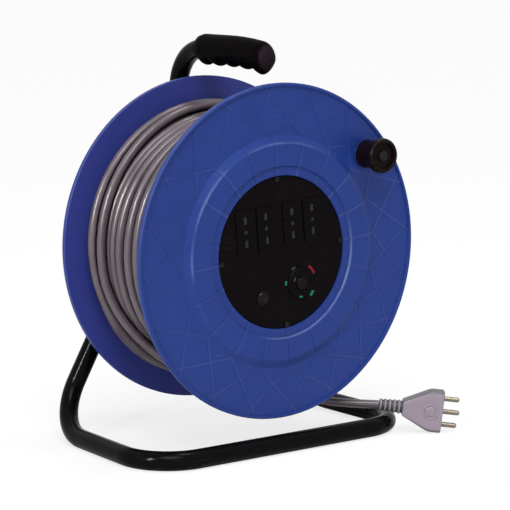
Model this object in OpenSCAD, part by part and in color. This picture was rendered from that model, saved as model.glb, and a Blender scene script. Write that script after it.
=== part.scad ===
// Extension cord reel. A winding drum with two ribbed flanges turns on a stub axle in a bent
// tube stand. The sockets, a cut-out and a lamp sit in the front flange and turn with the drum.
// Millimetres. +X to the right, +Y from the socket side to the back, +Z up. The origin is on
// the floor, under the middle of the box round the stand and drum, without the free cord.

/* [Drum] */
// Outer radius of both flanges
flange_r = 160; // [148:1:166]
// Distance between the outer planes of the two flange rims
drum_w = 136; // [132:1:150]
// Wall of the flanges
flange_wall = 3; // [2.5:0.5:4]
// Depth of the flat outer field behind the rim
field_drop = 2; // [1:0.5:3]
// Width of the raised rim
rim_w = 3.5; // [2.5:0.5:6]
// Height of the middle plateau in front of the rim
plateau_rise = 2.5; // [1:0.5:4]
// Radius where the plateau starts to fall to the outer field
plateau_r = 103; // [98:1:106]
// Radius of the foot of the plateau's slope
step_r = 111; // [109:1:116]
// Inner radius of the plateau
plateau_inner_r = 82; // [80:0.5:86]
// Radius of the drum's core
core_r = 85; // [84:0.5:90]
// Wall of the drum's core
core_wall = 3; // [2.5:0.5:4]
// Number of radial ridges on a flange
ridge_count = 20; // [10:1:24]
// Width of a radial ridge
ridge_w = 2.6; // [1.5:0.1:4]
// Width of a ridge of the outer lattice
lattice_w = 1.6; // [1:0.1:2.5]
// Height of all ridges
ridge_h = 0.4; // [0.3:0.1:1.5]
// How many ridge steps a lattice ridge leans over on its way to the rim
lattice_lean = 1.1; // [0.6:0.1:1.6]
// Angle by which the drum stands turned
drum_turn = 5; // [0:1:45]

/* [Hub] */
// Height of the axle over the floor
axle_h = 191; // [188:1:210]
// Radius of the axle
axle_r = 8; // [7:0.5:8.5]
// Radius of the bushes' seat in the hub
hub_bore_r = 11; // [10.5:0.5:12]
// Outer radius of the hub tube
hub_r = 15; // [14:0.5:18]
// Radial clearance of running fits
running_gap = 0.05; // [0.02:0.01:0.08]
// Clearance between pieces that seat on each other
seat_gap = 0.3; // [0.2:0.05:0.4]
// Radius of the long bolts that hold the drum together
bolt_r = 2.5; // [2:0.25:3]

/* [Stand] */
// Radius of the base tube
base_r = 9.2; // [8.8:0.1:9.6]
// Radius of the carry tube
carry_r = 9.4; // [9.4:0.1:10]
// Wall of both tubes
tube_wall = 1.5; // [1:0.25:2]
// Half the width between the base's front corners
base_half_w = 152.8; // [150:0.2:170]
// Distance of the base's front bar in front of the drum's middle
base_front = 79.5; // [75:0.5:95]
// Bend radius of the base's front corners
front_bend = 48; // [35:1:60]
// Bend radius from the base up into the legs
rear_bend = 52; // [25:1:55]
// Lean of each leg from upright
leg_angle = 29; // [26:0.5:31]
// How far the stand sits to the side of the axle
stand_shift = -3.2; // [-4:0.2:4]
// How far the front bar's right end lies further back than its middle
front_skew = 4; // [0:0.5:5]
// Height over the axle where the legs' centrelines meet
leg_top = 84.5; // [80:0.5:95]
// Gap between the rear flange's rim and the tubes behind it
frame_gap = 23.2; // [23:0.2:40]
// Thickness of the steel hub plate
plate_t = 4; // [3:0.5:5]

/* [Grip] */
// Height of the carry bar over the axle
bar_h = 186; // [184:0.5:200]
// Bend radius from the upright to the carry bar
carry_bend = 41; // [30:1:45]
// Angle by which the bar's free end droops
droop = 7.5; // [4:0.5:9]
// Length of the grip
grip_len = 114; // [110:0.5:118]
// Half the width of the grip
grip_half_w = 12; // [11.8:0.1:14]
// Height of the grip's top over the bar's centreline
grip_top = 15.4; // [13:0.1:17]
// Depth of the grip's notches under the bar's centreline
grip_notch = 11.6; // [11.5:0.1:13]
// Distance between the finger notches
finger_pitch = 22.3; // [20:0.1:23]
// Height of the finger bumps
finger_h = 3.2; // [1:0.1:4]

/* [Knob] */
// Distance of the knob from the drum's axis
knob_reach = 133.5; // [125:0.5:140]
// Length of the knob
knob_len = 28.5; // [24:0.5:40]
// Radius of the knob's foot
knob_foot_r = 13.8; // [12:0.1:15]
// Radius of the knob's end
knob_end_r = 17; // [15:0.1:18]
// Radius of the knob's pin
knob_pin_r = 3; // [2.5:0.25:4]

/* [Sockets] */
// Radius of the round panel
panel_r = 73; // [72:0.5:74]
// Thickness of the panel
panel_t = 3.5; // [2.5:0.5:4]
// Width of a socket's face
socket_w = 22; // [20:0.5:23]
// Height of a socket's face
socket_h = 42; // [40:0.5:43]
// Distance between the two sockets of a pair
socket_pitch = 23.8; // [23.5:0.1:25]
// Distance between the two pairs' inner sockets
pair_gap = 30.6; // [26:0.1:32]
// Height of the sockets over the drum's axis
socket_up = 25.5; // [23:0.5:26]
// Depth of a socket's pin holes
pin_depth = 18; // [15:0.5:20]
// Radius of a socket's pin holes
pin_hole_r = 2.65; // [2.4:0.05:2.65]
// Distance from the middle hole to the far holes
pin_pitch = 13; // [12:0.5:13]
// Distance from the middle hole to the near holes
near_pitch = 9.5; // [8.5:0.5:9.5]
// Place of the cut-out on the panel
cutout_at = [19.4, -33.3];
// Radius of the cut-out's bezel
cutout_r = 15; // [13:0.5:16]
// Radius of the reset button
button_r = 6; // [5:0.5:7]
// Travel of the reset button
button_travel = 2; // [1:0.5:3]
// Place of the lamp on the panel
lamp_at = [-25.3, -39.5];
// Radius of the lamp's lens
lamp_r = 5.5; // [4.5:0.5:7]

/* [Cable] */
// Diameter of the cable
cable_d = 8.5; // [7.5:0.1:8.8]
// Centreline radius of the outer layer's lower turns
turn_r = 124.5; // [120:0.1:126]
// Rise from the lower turns to the upper ones
layer_rise = 9.1; // [9.1:0.1:10]
// Distance between the lower turns
turn_pitch = 10.35; // [10.2:0.05:10.4]
// Distance between the upper turns
upper_pitch = 12.5; // [11:0.1:13]

/* [Plug] */
// Width of the plug's body
plug_w = 42; // [38:0.5:44]
// Length of the plug's body
plug_len = 40; // [34:0.5:46]
// Thickness of the plug's body
plug_t = 17; // [14:0.5:20]
// Radius of the plug's pins
plug_pin_r = 2.5; // [2:0.1:2.5]
// Distance between the plug's pins
plug_pin_pitch = 13; // [12:0.5:14]
// Length of the plug's outer pins
plug_pin_len = 15.5; // [14:0.5:19]
// Length of the strain relief
relief_len = 23; // [20:0.5:26]

/* [Hidden] */
$fn = 64;
tiny = 0.01;

// Planes of a flange, counted from the drum's middle outwards
rim_f = drum_w / 2;
field_f = rim_f - field_drop;
inner_f = field_f - flange_wall;
plateau_f = rim_f + plateau_rise;
ring_f = rim_f + 0.5;
panel_f = ring_f - 1;
ledge_f = panel_f - panel_t;
ledge_t = 3;
spigot_len = 8;
spigot_t = 2.5;
spigot_r = core_r - core_wall - seat_gap;
opening_r = panel_r + seat_gap;
ledge_r = panel_r - 6.5;
seat_ring_w = 3;
slope_run = 2;

// Drum bolts and their bosses
bolt_count = 4;
bolt_place_r = spigot_r - 7;
boss_r = 5.5;
boss_len = 12;
bolt_head_r = 4.5;
bolt_head_t = 3.5;
bolt_gap = 0.3;
fit_gap = 0.05;

// Hub along the axle
hub_back = rim_f + 12;
bush_flange_t = 2;
bush_flange_r = hub_r;
bush_len = 16;
partition_y = -18;
partition_t = 3;
washer_t = 2;
thrust_t = 1.7;
collar_front = hub_back + bush_flange_t + thrust_t + 2 * seat_gap;
collar_r = 12;
frame_y = rim_f + frame_gap;
plate_front = frame_y - fit_gap - plate_t;
stud_r = 6;
end_stud_r = 5;
nut_t = 8;
nut_r = 10.5;
end_nut_r = 9.5;
stud_past = 2;
shoulder_y = partition_y - bush_flange_t - seat_gap;

// Stand
joint_gap = 0.2;
sleeve_len = 1.2;
sleeve_rise = 0.02;
base_z = base_r + sleeve_rise - axle_h;
carry_y = frame_y + carry_r;
leg_spread = (leg_top - base_z) * tan(leg_angle);
carry_foot = 20;
droop_r = 400;
droop_start = 11;
droop_trim = droop_r * tan(droop / 2);
bar_end = 2;
weld_gap = 0.05;

// Grip
grip_back = 59;
first_notch = grip_back - 20.2;
bulb_round = 14.5;
bulb_h = 4.6;
grip_sides = 24;
grip_bore_r = (carry_r + 0.3) / cos(180 / grip_sides);
lip_h = 1.2;

// Knob
knob_angle = 360 / ridge_count * 2;
knob_boss_f = field_f + 2.5;
knob_foot_f = knob_boss_f + seat_gap;
knob_end_f = knob_foot_f + knob_len;
knob_floor_f = knob_end_f - 3.6;
rivet_r = 5;

// Cable
cable_r = cable_d / 2;
start_y = cable_r + 1.1 - inner_f;
low_turns = 11;
climb_turns = 0.25;
upper_turns = 1.75;
cross_turns = 1 / 3;
all_turns = low_turns + climb_turns + upper_turns + cross_turns;
top_y = start_y + low_turns * turn_pitch;
cross_y = top_y - upper_turns * upper_pitch;
leave_y = -8;
steps_per_turn = 24;
last_step = round(all_turns * steps_per_turn);
leave_angle = 255;
tube_sides = 6;
core_skin_r = turn_r * cos(180 / steps_per_turn) - cable_r - seat_gap;
riser_arc = 24;

// The free cord's route, from the drum's axle
cord_sides = 10;
cord_route = [
    [-14, -9.4, -134.5], [5.6, -12.6, -140.6], [34, -18, -148.5], [64, -26.5, -156],
    [93, -43, -161.5], [121.5, -65.8, -163]
];
cord_steps = 3;
plug_nose = [172, -102, -170];
plug_tail = cord_route[5];
relief_r = 6;
pin_round = 1.2;

// Middle of the box without the free cord
front_reach = max(knob_end_f, base_front + front_skew + base_r);
rear_reach = carry_y + carry_r;
mid_y = (rear_reach - front_reach) / 2;
left_bend = bend_centre(rear_corner(-1), front_corner(-1), front_corner(1), front_bend);
left_reach = front_bend + base_r - left_bend[0];
mid_x = (flange_r - left_reach) / 2;

function unit(v) = v / norm(v);
function side_of(d) = unit(cross(abs(d[2]) < 0.9 ? [0, 0, 1] : [1, 0, 0], d));
function smooth(t) = t * t * (3 - 2 * t);
function clamped(t) = min(1, max(0, t));
function turned_2d(v, a) = [v[0] * cos(a) - v[1] * sin(a), v[0] * sin(a) + v[1] * cos(a)];
function last(list) = list[len(list) - 1];

// Centre of the arc of radius r that rounds the corner b between a and c
function bend_centre(a, b, c, r) =
    let (u = unit(a - b), v = unit(c - b))
    b + unit(u + v) * r / sin(acos(u * v) / 2);
// That arc as points of a flat outline
function fillet(a, b, c, r, n) =
    let (u = unit(a - b), v = unit(c - b), half = acos(u * v) / 2)
    let (q = bend_centre(a, b, c, r), w = b + u * r / tan(half) - q)
    let (sweep = (180 - 2 * half) * sign(cross(w, b + v * r / tan(half) - q)))
    [for (i = [0:n]) q + turned_2d(w, sweep * i / n)];
function rounded(p, r, n = 6) =
    let (m = len(p))
    [for (i = [0:m - 1]) each fillet(p[(i + m - 1) % m], p[i], p[(i + 1) % m], r, n)];
function box_2d(w, h) = [[-w, -h] / 2, [w, -h] / 2, [w, h] / 2, [-w, h] / 2];

// From the axle's middle to the part's frame, and the drum as it stands turned
module reel() translate([-mid_x, -mid_y, axle_h]) children();
module drum() reel() rotate([0, -drum_turn, 0]) children();
module at_angle(a) rotate([0, -a, 0]) children();
// Outline [radius, y] turned about the axle
module turned(points, sides = 144) {
    rotate([-90, 0, 0])
        rotate_extrude($fn = sides)
            polygon(points);
}
// Outline [radius, distance out from the middle] turned on the front or the rear side
module turned_out(points, out, sides = 144) {
    turned([for (p = points) [p[0], out * p[1]]], sides);
}
// Cylinder along the axle between two planes
module rod(r, y0, y1, sides = 48) {
    translate([0, min(y0, y1), 0])
        rotate([-90, 0, 0])
            cylinder(r = r, h = abs(y1 - y0), $fn = sides);
}
// Flat outline in X and Z, from one plane to another along Y
module slab(points, y0, y1) {
    translate([0, max(y0, y1), 0])
        rotate([90, 0, 0])
            linear_extrude(abs(y1 - y0))
                polygon(points);
}
module aligned(o, x, y, z) {
    multmatrix([
        [x[0], y[0], z[0], o[0]], [x[1], y[1], z[1], o[1]], [x[2], y[2], z[2], o[2]], [0, 0, 0, 1]
    ])
        children();
}
module ring_2d(r, wall) {
    difference() {
        circle(r, $fn = 48);
        circle(r - wall, $fn = 48);
    }
}
module tube_run(a, b, r, wall) {
    d = unit(b - a);
    s = side_of(d);
    aligned(a, s, cross(d, s), d)
        linear_extrude(norm(b - a))
            ring_2d(r, wall);
}
// Short sleeve, a hair thicker than the tube's wall, that closes the joint at a between run and bend
module tube_sleeve(a, d, r, wall) {
    s = side_of(d);
    aligned(a - sleeve_len / 2 * d, s, cross(d, s), d)
        linear_extrude(sleeve_len)
            ring_2d(r + sleeve_rise, wall + 2 * sleeve_rise);
}
module tube_bend(a, b, c, bend, r, wall) {
    d = unit(b - a);
    e = unit(c - b);
    turn = acos(d * e);
    inward = unit(e - (d * e) * d);
    start = b - bend * tan(turn / 2) * d;
    aligned(start + bend * inward, -inward, d, cross(-inward, d))
        rotate_extrude(angle = turn, $fn = 96)
            translate([bend, 0])
                ring_2d(r, wall);
}
// Tube along a list of corners, each with its bend radius
module bent_tube(points, bends, r, wall) {
    m = len(points) - 1;
    trims = [
        for (i = [0:m])
            i == 0 || i == m ? 0 :
                let (along = unit(points[i] - points[i - 1]) * unit(points[i + 1] - points[i]))
                bends[i - 1] * tan(acos(along) / 2)
    ];
    for (i = [0:m - 1]) {
        d = unit(points[i + 1] - points[i]);
        a = points[i] + trims[i] * d;
        b = points[i + 1] - trims[i + 1] * d;
        tube_run(a + (i > 0 ? joint_gap : 0) * d, b - (i < m - 1 ? joint_gap : 0) * d, r, wall);
        if (i > 0)
            tube_sleeve(a, d, r, wall);
        if (i < m - 1)
            tube_sleeve(b, d, r, wall);
    }
    for (i = [1:m - 1])
        tube_bend(points[i - 1], points[i], points[i + 1], bends[i - 1], r, wall);
}
// Closed skin through rings of equally many points, with flat ends
module lofted(rings) {
    m = len(rings);
    s = len(rings[0]);
    polyhedron(
        points = [for (ring = rings) each ring],
        faces = [
            [for (j = [0:s - 1]) j],
            for (i = [0:m - 2], j = [0:s - 1])
                each [
                    [i * s + j, (i + 1) * s + j, (i + 1) * s + (j + 1) % s],
                    [i * s + j, (i + 1) * s + (j + 1) % s, i * s + (j + 1) % s]
                ],
            [for (j = [s - 1:-1:0]) (m - 1) * s + j]
        ],
        convexity = 10
    );
}

// ---- Stand ----

function rear_corner(side) = [stand_shift + side * leg_spread, carry_y, base_z];
function front_corner(side) =
    [stand_shift + side * base_half_w, side * front_skew - base_front, base_z];
module base_tube() {
    color([0.05, 0.05, 0.06])
        reel()
            difference() {
                bent_tube(
                    [
                        [stand_shift, carry_y, leg_top], rear_corner(-1), front_corner(-1),
                        front_corner(1), rear_corner(1), [stand_shift, carry_y, leg_top]
                    ],
                    [rear_bend, front_bend, front_bend, rear_bend], base_r, tube_wall
                );
                translate([stand_shift, carry_y, carry_foot])
                    cylinder(r = carry_r + weld_gap, h = leg_top, $fn = 64);
            }
}
module carry_tube() {
    bar_y = droop_start - droop_trim;
    color([0.05, 0.05, 0.06])
        reel()
            bent_tube(
                [
                    [stand_shift, carry_y, carry_foot], [stand_shift, carry_y, bar_h],
                    [stand_shift, bar_y, bar_h],
                    [stand_shift, bar_y, bar_h] - (droop_trim + bar_end) * [0, cos(droop), sin(droop)]
                ],
                [carry_bend, droop_r], carry_r, tube_wall
            );
}
module hub_plate() {
    top = 42;
    low = -26;
    over = 5;
    half_top = (leg_top - top) * tan(leg_angle) + over;
    half_low = (leg_top - low) * tan(leg_angle) + over;
    color([0.1, 0.1, 0.11])
        reel()
            difference() {
                slab(
                    rounded(
                        [
                            [stand_shift - half_low, low], [stand_shift + half_low, low],
                            [stand_shift + half_top, top], [stand_shift - half_top, top]
                        ],
                        8
                    ),
                    plate_front, plate_front + plate_t
                );
                rod(stud_r + running_gap, plate_front - 1, frame_y + 1);
            }
}

// Centreline of the carry bar under the grip
function bar_z(y) =
    y > droop_start ? bar_h :
        bar_h - droop_r + sqrt(droop_r * droop_r - pow(droop_start - y, 2));
// Finger bumps between sharp notches, and the larger bump of the end bulb
function bump(y) =
    y < last_notch ? bulb_h * abs(sin(180 * (last_notch - y) / bulb_len)) :
    y > first_notch ? finger_h * sin(180 * clamped((grip_back - y) / (grip_back - first_notch))) :
        finger_h * abs(sin(180 * (first_notch - y) / finger_pitch));
last_notch = first_notch - 3 * finger_pitch;
bulb_len = last_notch - (grip_back - grip_len);
grip_tip = grip_back - grip_len;
function grip_scale(y) =
    let (into = clamped((grip_tip + bulb_round - y) / bulb_round))
    let (lip = clamped((grip_back - y) / 7))
    max(0.12, sqrt(1 - into * into)) * (1 - lip_h / grip_half_w * (1 - smooth(lip)));
function grip_ring(y) = [
    for (j = [0:grip_sides - 1])
        let (a = 360 * j / grip_sides, k = grip_scale(y))
        let (down = grip_notch + pow(cos(a / 2 + 45), 6) * bump(y))
        [k * grip_half_w * cos(a), y, bar_z(y) + k * (sin(a) > 0 ? grip_top : down) * sin(a)]
];
function bore_ring(y) = [
    for (j = [0:grip_sides - 1])
        let (a = 360 * j / grip_sides)
        [grip_bore_r * cos(a), y, bar_z(y) + grip_bore_r * sin(a)]
];
module grip() {
    step = finger_pitch / 8;
    ring_count = ceil(grip_len / step);
    bore_end = bar_tip_y - seat_gap - carry_r * sin(droop);
    ring_y = [for (k = [-8:ring_count]) first_notch - step * k];
    outer_y = [
        for (y = ring_y) if (y < grip_back - 0.5 && y > grip_tip + 4) y,
        grip_tip + 3, grip_tip + 1.4, grip_tip + 0.4, grip_tip
    ];
    inner_y = [grip_back + 1, for (y = [droop_start:-10:bore_end + 5]) y, bore_end];
    color([0.06, 0.05, 0.06])
        reel()
            translate([stand_shift, 0, 0])
                difference() {
                    lofted([grip_ring(grip_back), for (y = outer_y) grip_ring(y)]);
                    lofted([for (y = inner_y) bore_ring(y)]);
                }
}
bar_tip_y = droop_start - droop_trim - (droop_trim + bar_end) * cos(droop);

// ---- Hub ----

module hex_nut(r, bore, y0, y1) {
    color([0.72, 0.72, 0.7])
        reel()
            difference() {
                rod(r, y0, y1, 6);
                rod(bore, y0 - 1, y1 + 1);
            }
}
module flat_washer(r, bore, y0, y1) {
    color([0.75, 0.75, 0.73])
        reel()
            difference() {
                rod(r, y0, y1);
                rod(bore, y0 - 1, y1 + 1);
            }
}
module axle() {
    stud_end = frame_y + washer_t + nut_t + stud_past;
    front_end = shoulder_y - washer_t - nut_t - stud_past;
    color([0.7, 0.7, 0.68])
        reel()
            turned(
                [
                    [0, front_end], [end_stud_r - 1, front_end], [end_stud_r, front_end + 1],
                    [end_stud_r, shoulder_y], [axle_r, shoulder_y], [axle_r, collar_front],
                    [collar_r, collar_front], [collar_r, plate_front], [stud_r, plate_front],
                    [stud_r, stud_end - 1], [stud_r - 1, stud_end], [0, stud_end]
                ],
                64
            );
}
module axle_nut() hex_nut(nut_r, stud_r + fit_gap, frame_y + washer_t, frame_y + washer_t + nut_t);
module axle_washer() flat_washer(nut_r + 2, stud_r + fit_gap, frame_y, frame_y + washer_t);
module retaining_nut() {
    back = shoulder_y - washer_t;
    hex_nut(end_nut_r, end_stud_r + fit_gap, back - nut_t, back);
}
module retaining_washer() {
    flat_washer(hub_r - 1, end_stud_r + fit_gap, shoulder_y - washer_t, shoulder_y);
}
module thrust_washer() {
    front = hub_back + bush_flange_t + seat_gap;
    flat_washer(hub_r - 1, axle_r + fit_gap, front, front + thrust_t);
}
// Flanged bush: a sleeve of length inwards from the plane seat, its flange on the other side
module bush(seat, out) {
    color([0.85, 0.84, 0.8])
        reel()
            difference() {
                union() {
                    rod(hub_bore_r - fit_gap, seat - out * bush_len, seat + out * tiny);
                    rod(bush_flange_r, seat, seat + out * bush_flange_t);
                }
                rod(axle_r + running_gap, seat - out * (bush_len + 1), seat + out * 5);
            }
}
module rear_bush() bush(hub_back, 1);
module front_bush() bush(partition_y, -1);

// ---- Drum ----

// Outer part that both flanges share, from the plateau's inner edge round to the core's seat
flange_outline = [
    [plateau_inner_r - 0.5, ring_f], [plateau_inner_r + 0.5, plateau_f],
    [plateau_r, plateau_f], [step_r, field_f], [flange_r - rim_w, field_f],
    [flange_r - rim_w + 0.6, rim_f], [flange_r - 1, rim_f], [flange_r, rim_f - 1],
    [flange_r, inner_f + 0.6], [flange_r - 0.6, inner_f], [step_r - slope_run, inner_f],
    [plateau_r - slope_run, plateau_f - flange_wall],
    [core_r + seat_ring_w, plateau_f - flange_wall], [core_r + seat_ring_w, inner_f],
    [spigot_r, inner_f], [spigot_r, inner_f - spigot_len],
    [spigot_r - spigot_t, inner_f - spigot_len]
];
front_outline = concat(
    [[opening_r, ring_f]], flange_outline,
    [
        [spigot_r - spigot_t, ledge_f - ledge_t], [ledge_r, ledge_f - ledge_t],
        [ledge_r, ledge_f], [opening_r, ledge_f]
    ]
);
rear_outline = concat(
    [
        [hub_bore_r, hub_back], [hub_r + 4, hub_back], [hub_r + 6, hub_back - 2],
        [hub_r + 8, field_f], [plateau_inner_r - 2, field_f]
    ],
    flange_outline,
    [
        [spigot_r - spigot_t, inner_f], [hub_r + 2, inner_f],
        [hub_r + 2, hub_back - bush_len - 5], [hub_bore_r, hub_back - bush_len - 5]
    ]
);
// Radial ridges over the ring and plateau: the flange's own outline, raised, between two planes
module radial_ridges(out, inner_r) {
    root = flange_wall / 2;
    raised = [
        [inner_r, ring_f - root], [inner_r, ring_f + ridge_h],
        [plateau_inner_r - 0.8, ring_f + ridge_h], [plateau_inner_r + 0.2, plateau_f + ridge_h],
        [plateau_r + 0.4, plateau_f + ridge_h], [step_r - 0.6, field_f + ridge_h],
        [step_r + 1, field_f + ridge_h], [step_r + 1, field_f - root],
        [plateau_r - 0.5, plateau_f - root], [plateau_inner_r + 1, plateau_f - root],
        [plateau_inner_r, ring_f - root]
    ];
    low_y = field_f - flange_wall;
    high_y = plateau_f + 2 * ridge_h;
    intersection() {
        turned_out(raised, out);
        for (i = [0:ridge_count - 1])
            at_angle(i * 360 / ridge_count)
                translate([inner_r - 2, out > 0 ? low_y : -high_y, -ridge_w / 2])
                    cube([step_r - inner_r + 4, high_y - low_y, ridge_w]);
    }
}
// One leaning ridge of the outer lattice, from a radial ridge's end to the rim
module lattice_ridge(out, lean) {
    foot = (step_r + 0.3) * [1, 0];
    reach = flange_r - rim_w + 0.4;
    head = reach * [cos(lean), sin(lean)];
    slope = atan2(head[1] - foot[1], head[0] - foot[0]);
    root = flange_wall / 3;
    translate([foot[0], out > 0 ? field_f - root : -field_f - ridge_h, 0])
        at_angle(slope)
            translate([0, 0, -lattice_w / 2])
                cube([norm(head - foot), ridge_h + root, lattice_w]);
}
module lattice(out) {
    for (i = [0:ridge_count - 1], lean = [-1, 1])
        at_angle(i * 360 / ridge_count)
            lattice_ridge(out, lean * lattice_lean * 360 / ridge_count);
}
module at_bolts() {
    for (i = [0:bolt_count - 1])
        at_angle(45 + i * 360 / bolt_count)
            translate([bolt_place_r, 0, 0])
                children();
}
module front_flange() {
    color([0.08, 0.2, 0.68])
        drum()
            difference() {
                union() {
                    turned_out(front_outline, -1);
                    radial_ridges(-1, opening_r);
                    lattice(-1);
                    at_bolts()
                        rod(boss_r, -inner_f + boss_len, -inner_f);
                    at_angle(knob_angle)
                        translate([knob_reach, 0, 0])
                            rod(knob_foot_r - 2, -knob_boss_f, -field_f + 1);
                }
                at_bolts()
                    rod(bolt_r + fit_gap, -inner_f + boss_len + 1, -inner_f + 1);
                at_angle(knob_angle)
                    translate([knob_reach, 0, 0])
                        rod(knob_pin_r - 0.5 + fit_gap, -knob_boss_f - 1, -inner_f + 1);
                at_panel_screws()
                    rod(panel_screw_r + fit_gap, -ledge_f - 1, -ledge_f + ledge_t + 1, 24);
            }
}
module rear_flange() {
    gusset_count = 8;
    gusset_t = 2.5;
    color([0.07, 0.17, 0.6])
        drum()
            difference() {
                union() {
                    turned_out(rear_outline, 1);
                    radial_ridges(1, plateau_inner_r - 1.1);
                    lattice(1);
                    for (i = [0:gusset_count - 1])
                        at_angle((i + 0.5) * 360 / gusset_count)
                            slab_gusset(gusset_t);
                }
                at_bolts()
                    rod(bolt_r + bolt_gap, inner_f - spigot_len, field_f + 5);
            }
}
// Web between the rear hub and the plateau, falling outwards
module slab_gusset(t) {
    translate([0, 0, -t / 2])
        linear_extrude(t)
            polygon([
                [hub_r + 3, field_f - 1], [plateau_inner_r, field_f - 1],
                [plateau_inner_r, ring_f], [hub_r + 5, hub_back - 3], [hub_r + 3, hub_back - 3]
            ]);
}
tail_y = partition_y - 8;
tail_z = -32;
module drum_core() {
    web_count = 6;
    web_t = 2.5;
    inner_r = core_r - core_wall;
    hub_end = hub_back - bush_len - 5 - seat_gap;
    color([0.09, 0.22, 0.7])
        drum()
            difference() {
                union() {
                    difference() {
                        rod(core_r, -inner_f, inner_f, 144);
                        rod(inner_r, -inner_f - 1, partition_y, 144);
                        rod(inner_r, partition_y + partition_t, inner_f + 1, 144);
                    }
                    rod(hub_r, partition_y, hub_end);
                    for (i = [0:web_count - 1])
                        at_angle(i * 360 / web_count)
                            translate([hub_r - 1, partition_y + 1, -web_t / 2])
                                cube([inner_r - hub_r + 2, hub_end - partition_y - 8, web_t]);
                }
                rod(hub_bore_r, partition_y - 1, hub_end + 1);
                at_bolts()
                    rod(bolt_r + bolt_gap, partition_y - 1, partition_y + partition_t + 1, 24);
                translate([-core_r - 5, tail_y, tail_z])
                    rotate([0, 90, 0])
                        cylinder(r = cable_r + seat_gap, h = 40, $fn = 32);
            }
}
module drum_bolts() {
    color([0.72, 0.72, 0.7])
        drum()
            at_bolts() {
                rod(bolt_r, 3 - inner_f, field_f, 24);
                difference() {
                    rod(bolt_head_r, field_f, field_f + bolt_head_t, 32);
                    rod(2, field_f + 1.5, field_f + bolt_head_t + 1, 6);
                }
            }
}

// ---- Socket side ----

panel_screw_r = 1.5;
module at_panel_screws() {
    for (i = [0:3])
        at_angle(90 * i)
            translate([(opening_r + ledge_r) / 2, 0, 0])
                children();
}
// The four sockets' middles on the panel
socket_x = [
    -pair_gap / 2 - socket_pitch, -pair_gap / 2, pair_gap / 2, pair_gap / 2 + socket_pitch
];
body_w = socket_w - 3;
body_h = socket_h - 4;
module socket_panel() {
    color([0.05, 0.045, 0.05])
        drum()
            difference() {
                turned_out(
                    [[0, ledge_f], [panel_r, ledge_f], [panel_r, panel_f - 0.6],
                     [panel_r - 0.6, panel_f], [0, panel_f]],
                    -1
                );
                for (x = socket_x)
                    translate([x, 0, socket_up])
                        slab(box_2d(body_w + seat_gap, body_h + seat_gap), -panel_f - 1, -ledge_f + 1);
                translate([cutout_at[0], 0, cutout_at[1]])
                    rod(cutout_r - 2 + seat_gap, -panel_f - 1, -ledge_f + 1);
                translate([lamp_at[0], 0, lamp_at[1]])
                    rod(lamp_r + fit_gap, -panel_f - 1, -ledge_f + 1);
                at_panel_screws()
                    rod(panel_screw_r + fit_gap, -panel_f - 1, -ledge_f + 1, 24);
            }
}
module panel_screws() {
    color([0.1, 0.1, 0.1])
        drum()
            at_panel_screws()
                difference() {
                    union() {
                        rod(panel_screw_r, -panel_f, -ledge_f + ledge_t, 24);
                        rod(2.6, -panel_f - 1.2, -panel_f, 24);
                    }
                    translate([-0.4, -panel_f - 2, -3])
                        cube([0.8, 1.4, 6]);
                }
}
socket_face = 1.2;
socket_deep = 24;
module socket(i) {
    face_f = panel_f + socket_face;
    color([0.06, 0.055, 0.06])
        drum()
            translate([socket_x[i], 0, socket_up])
                difference() {
                    union() {
                        slab(rounded(box_2d(socket_w, socket_h), 3), -face_f, -panel_f);
                        slab(box_2d(body_w, body_h), -panel_f - tiny, -face_f + socket_deep);
                    }
                    rod(pin_hole_r, -face_f - 1, -face_f + pin_depth, 32);
                    for (side = [-1, 1], far = [near_pitch, pin_pitch])
                        translate([0, 0, side * far])
                            rod(pin_hole_r, -face_f - 1, -face_f + pin_depth, 32);
                }
}
module socket_1() socket(0);
module socket_2() socket(1);
module socket_3() socket(2);
module socket_4() socket(3);
module contact_bars() {
    bar_t = 1.2;
    bar_w = 6;
    half = socket_x[3] + body_w / 2;
    back = -panel_f - socket_face + socket_deep;
    color([0.8, 0.62, 0.28])
        drum()
            for (row = [-1:1])
                translate([-half, back, socket_up + row * pin_pitch - bar_w / 2])
                    cube([2 * half, bar_t, bar_w]);
}
bezel_t = 2;
module cutout_body() {
    bezel_f = panel_f + bezel_t;
    well = button_travel + 10.5;
    color([0.05, 0.05, 0.05])
        drum()
            translate([cutout_at[0], 0, cutout_at[1]])
                difference() {
                    union() {
                        turned_out(
                            [[0, panel_f], [cutout_r, panel_f], [cutout_r, bezel_f - 1],
                             [cutout_r - 1, bezel_f], [0, bezel_f]],
                            -1, 64
                        );
                        rod(cutout_r - 2, -panel_f - tiny, -panel_f + 22);
                    }
                    rod(button_r + running_gap, -bezel_f - 1, -bezel_f + well);
                }
}
module reset_button() {
    top_f = panel_f + bezel_t + button_travel + 0.5;
    color([0.09, 0.09, 0.09])
        drum()
            translate([cutout_at[0], 0, cutout_at[1]])
                turned_out(
                    [[0, top_f - 12], [button_r, top_f - 12], [button_r, top_f - 0.8],
                     [button_r - 0.8, top_f], [0, top_f]],
                    -1, 64
                );
}
module pilot_lamp() {
    color([0.25, 0.04, 0.05])
        drum()
            translate([lamp_at[0], 0, lamp_at[1]])
                turned_out(
                    [[0, ledge_f - 8], [lamp_r, ledge_f - 8], [lamp_r, panel_f],
                     [lamp_r + 1.2, panel_f], [lamp_r + 1.2, panel_f + 0.8],
                     [lamp_r, panel_f + 0.8], [lamp_r - 1, panel_f + 1.8], [0, panel_f + 2.4]],
                    -1, 48
                );
}
block_w = 44;
block_h = 16;
module terminal_block() {
    color([0.8, 0.78, 0.72])
        drum()
            translate([-block_w / 2, partition_y - block_h, tail_z - block_h / 2])
                difference() {
                    cube([block_w, block_h, block_h]);
                    for (i = [0:2])
                        translate([8 + 14 * i, -1, block_h / 2])
                            rotate([-90, 0, 0])
                                cylinder(r = 2.2, h = 9, $fn = 24);
                }
}
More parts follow.
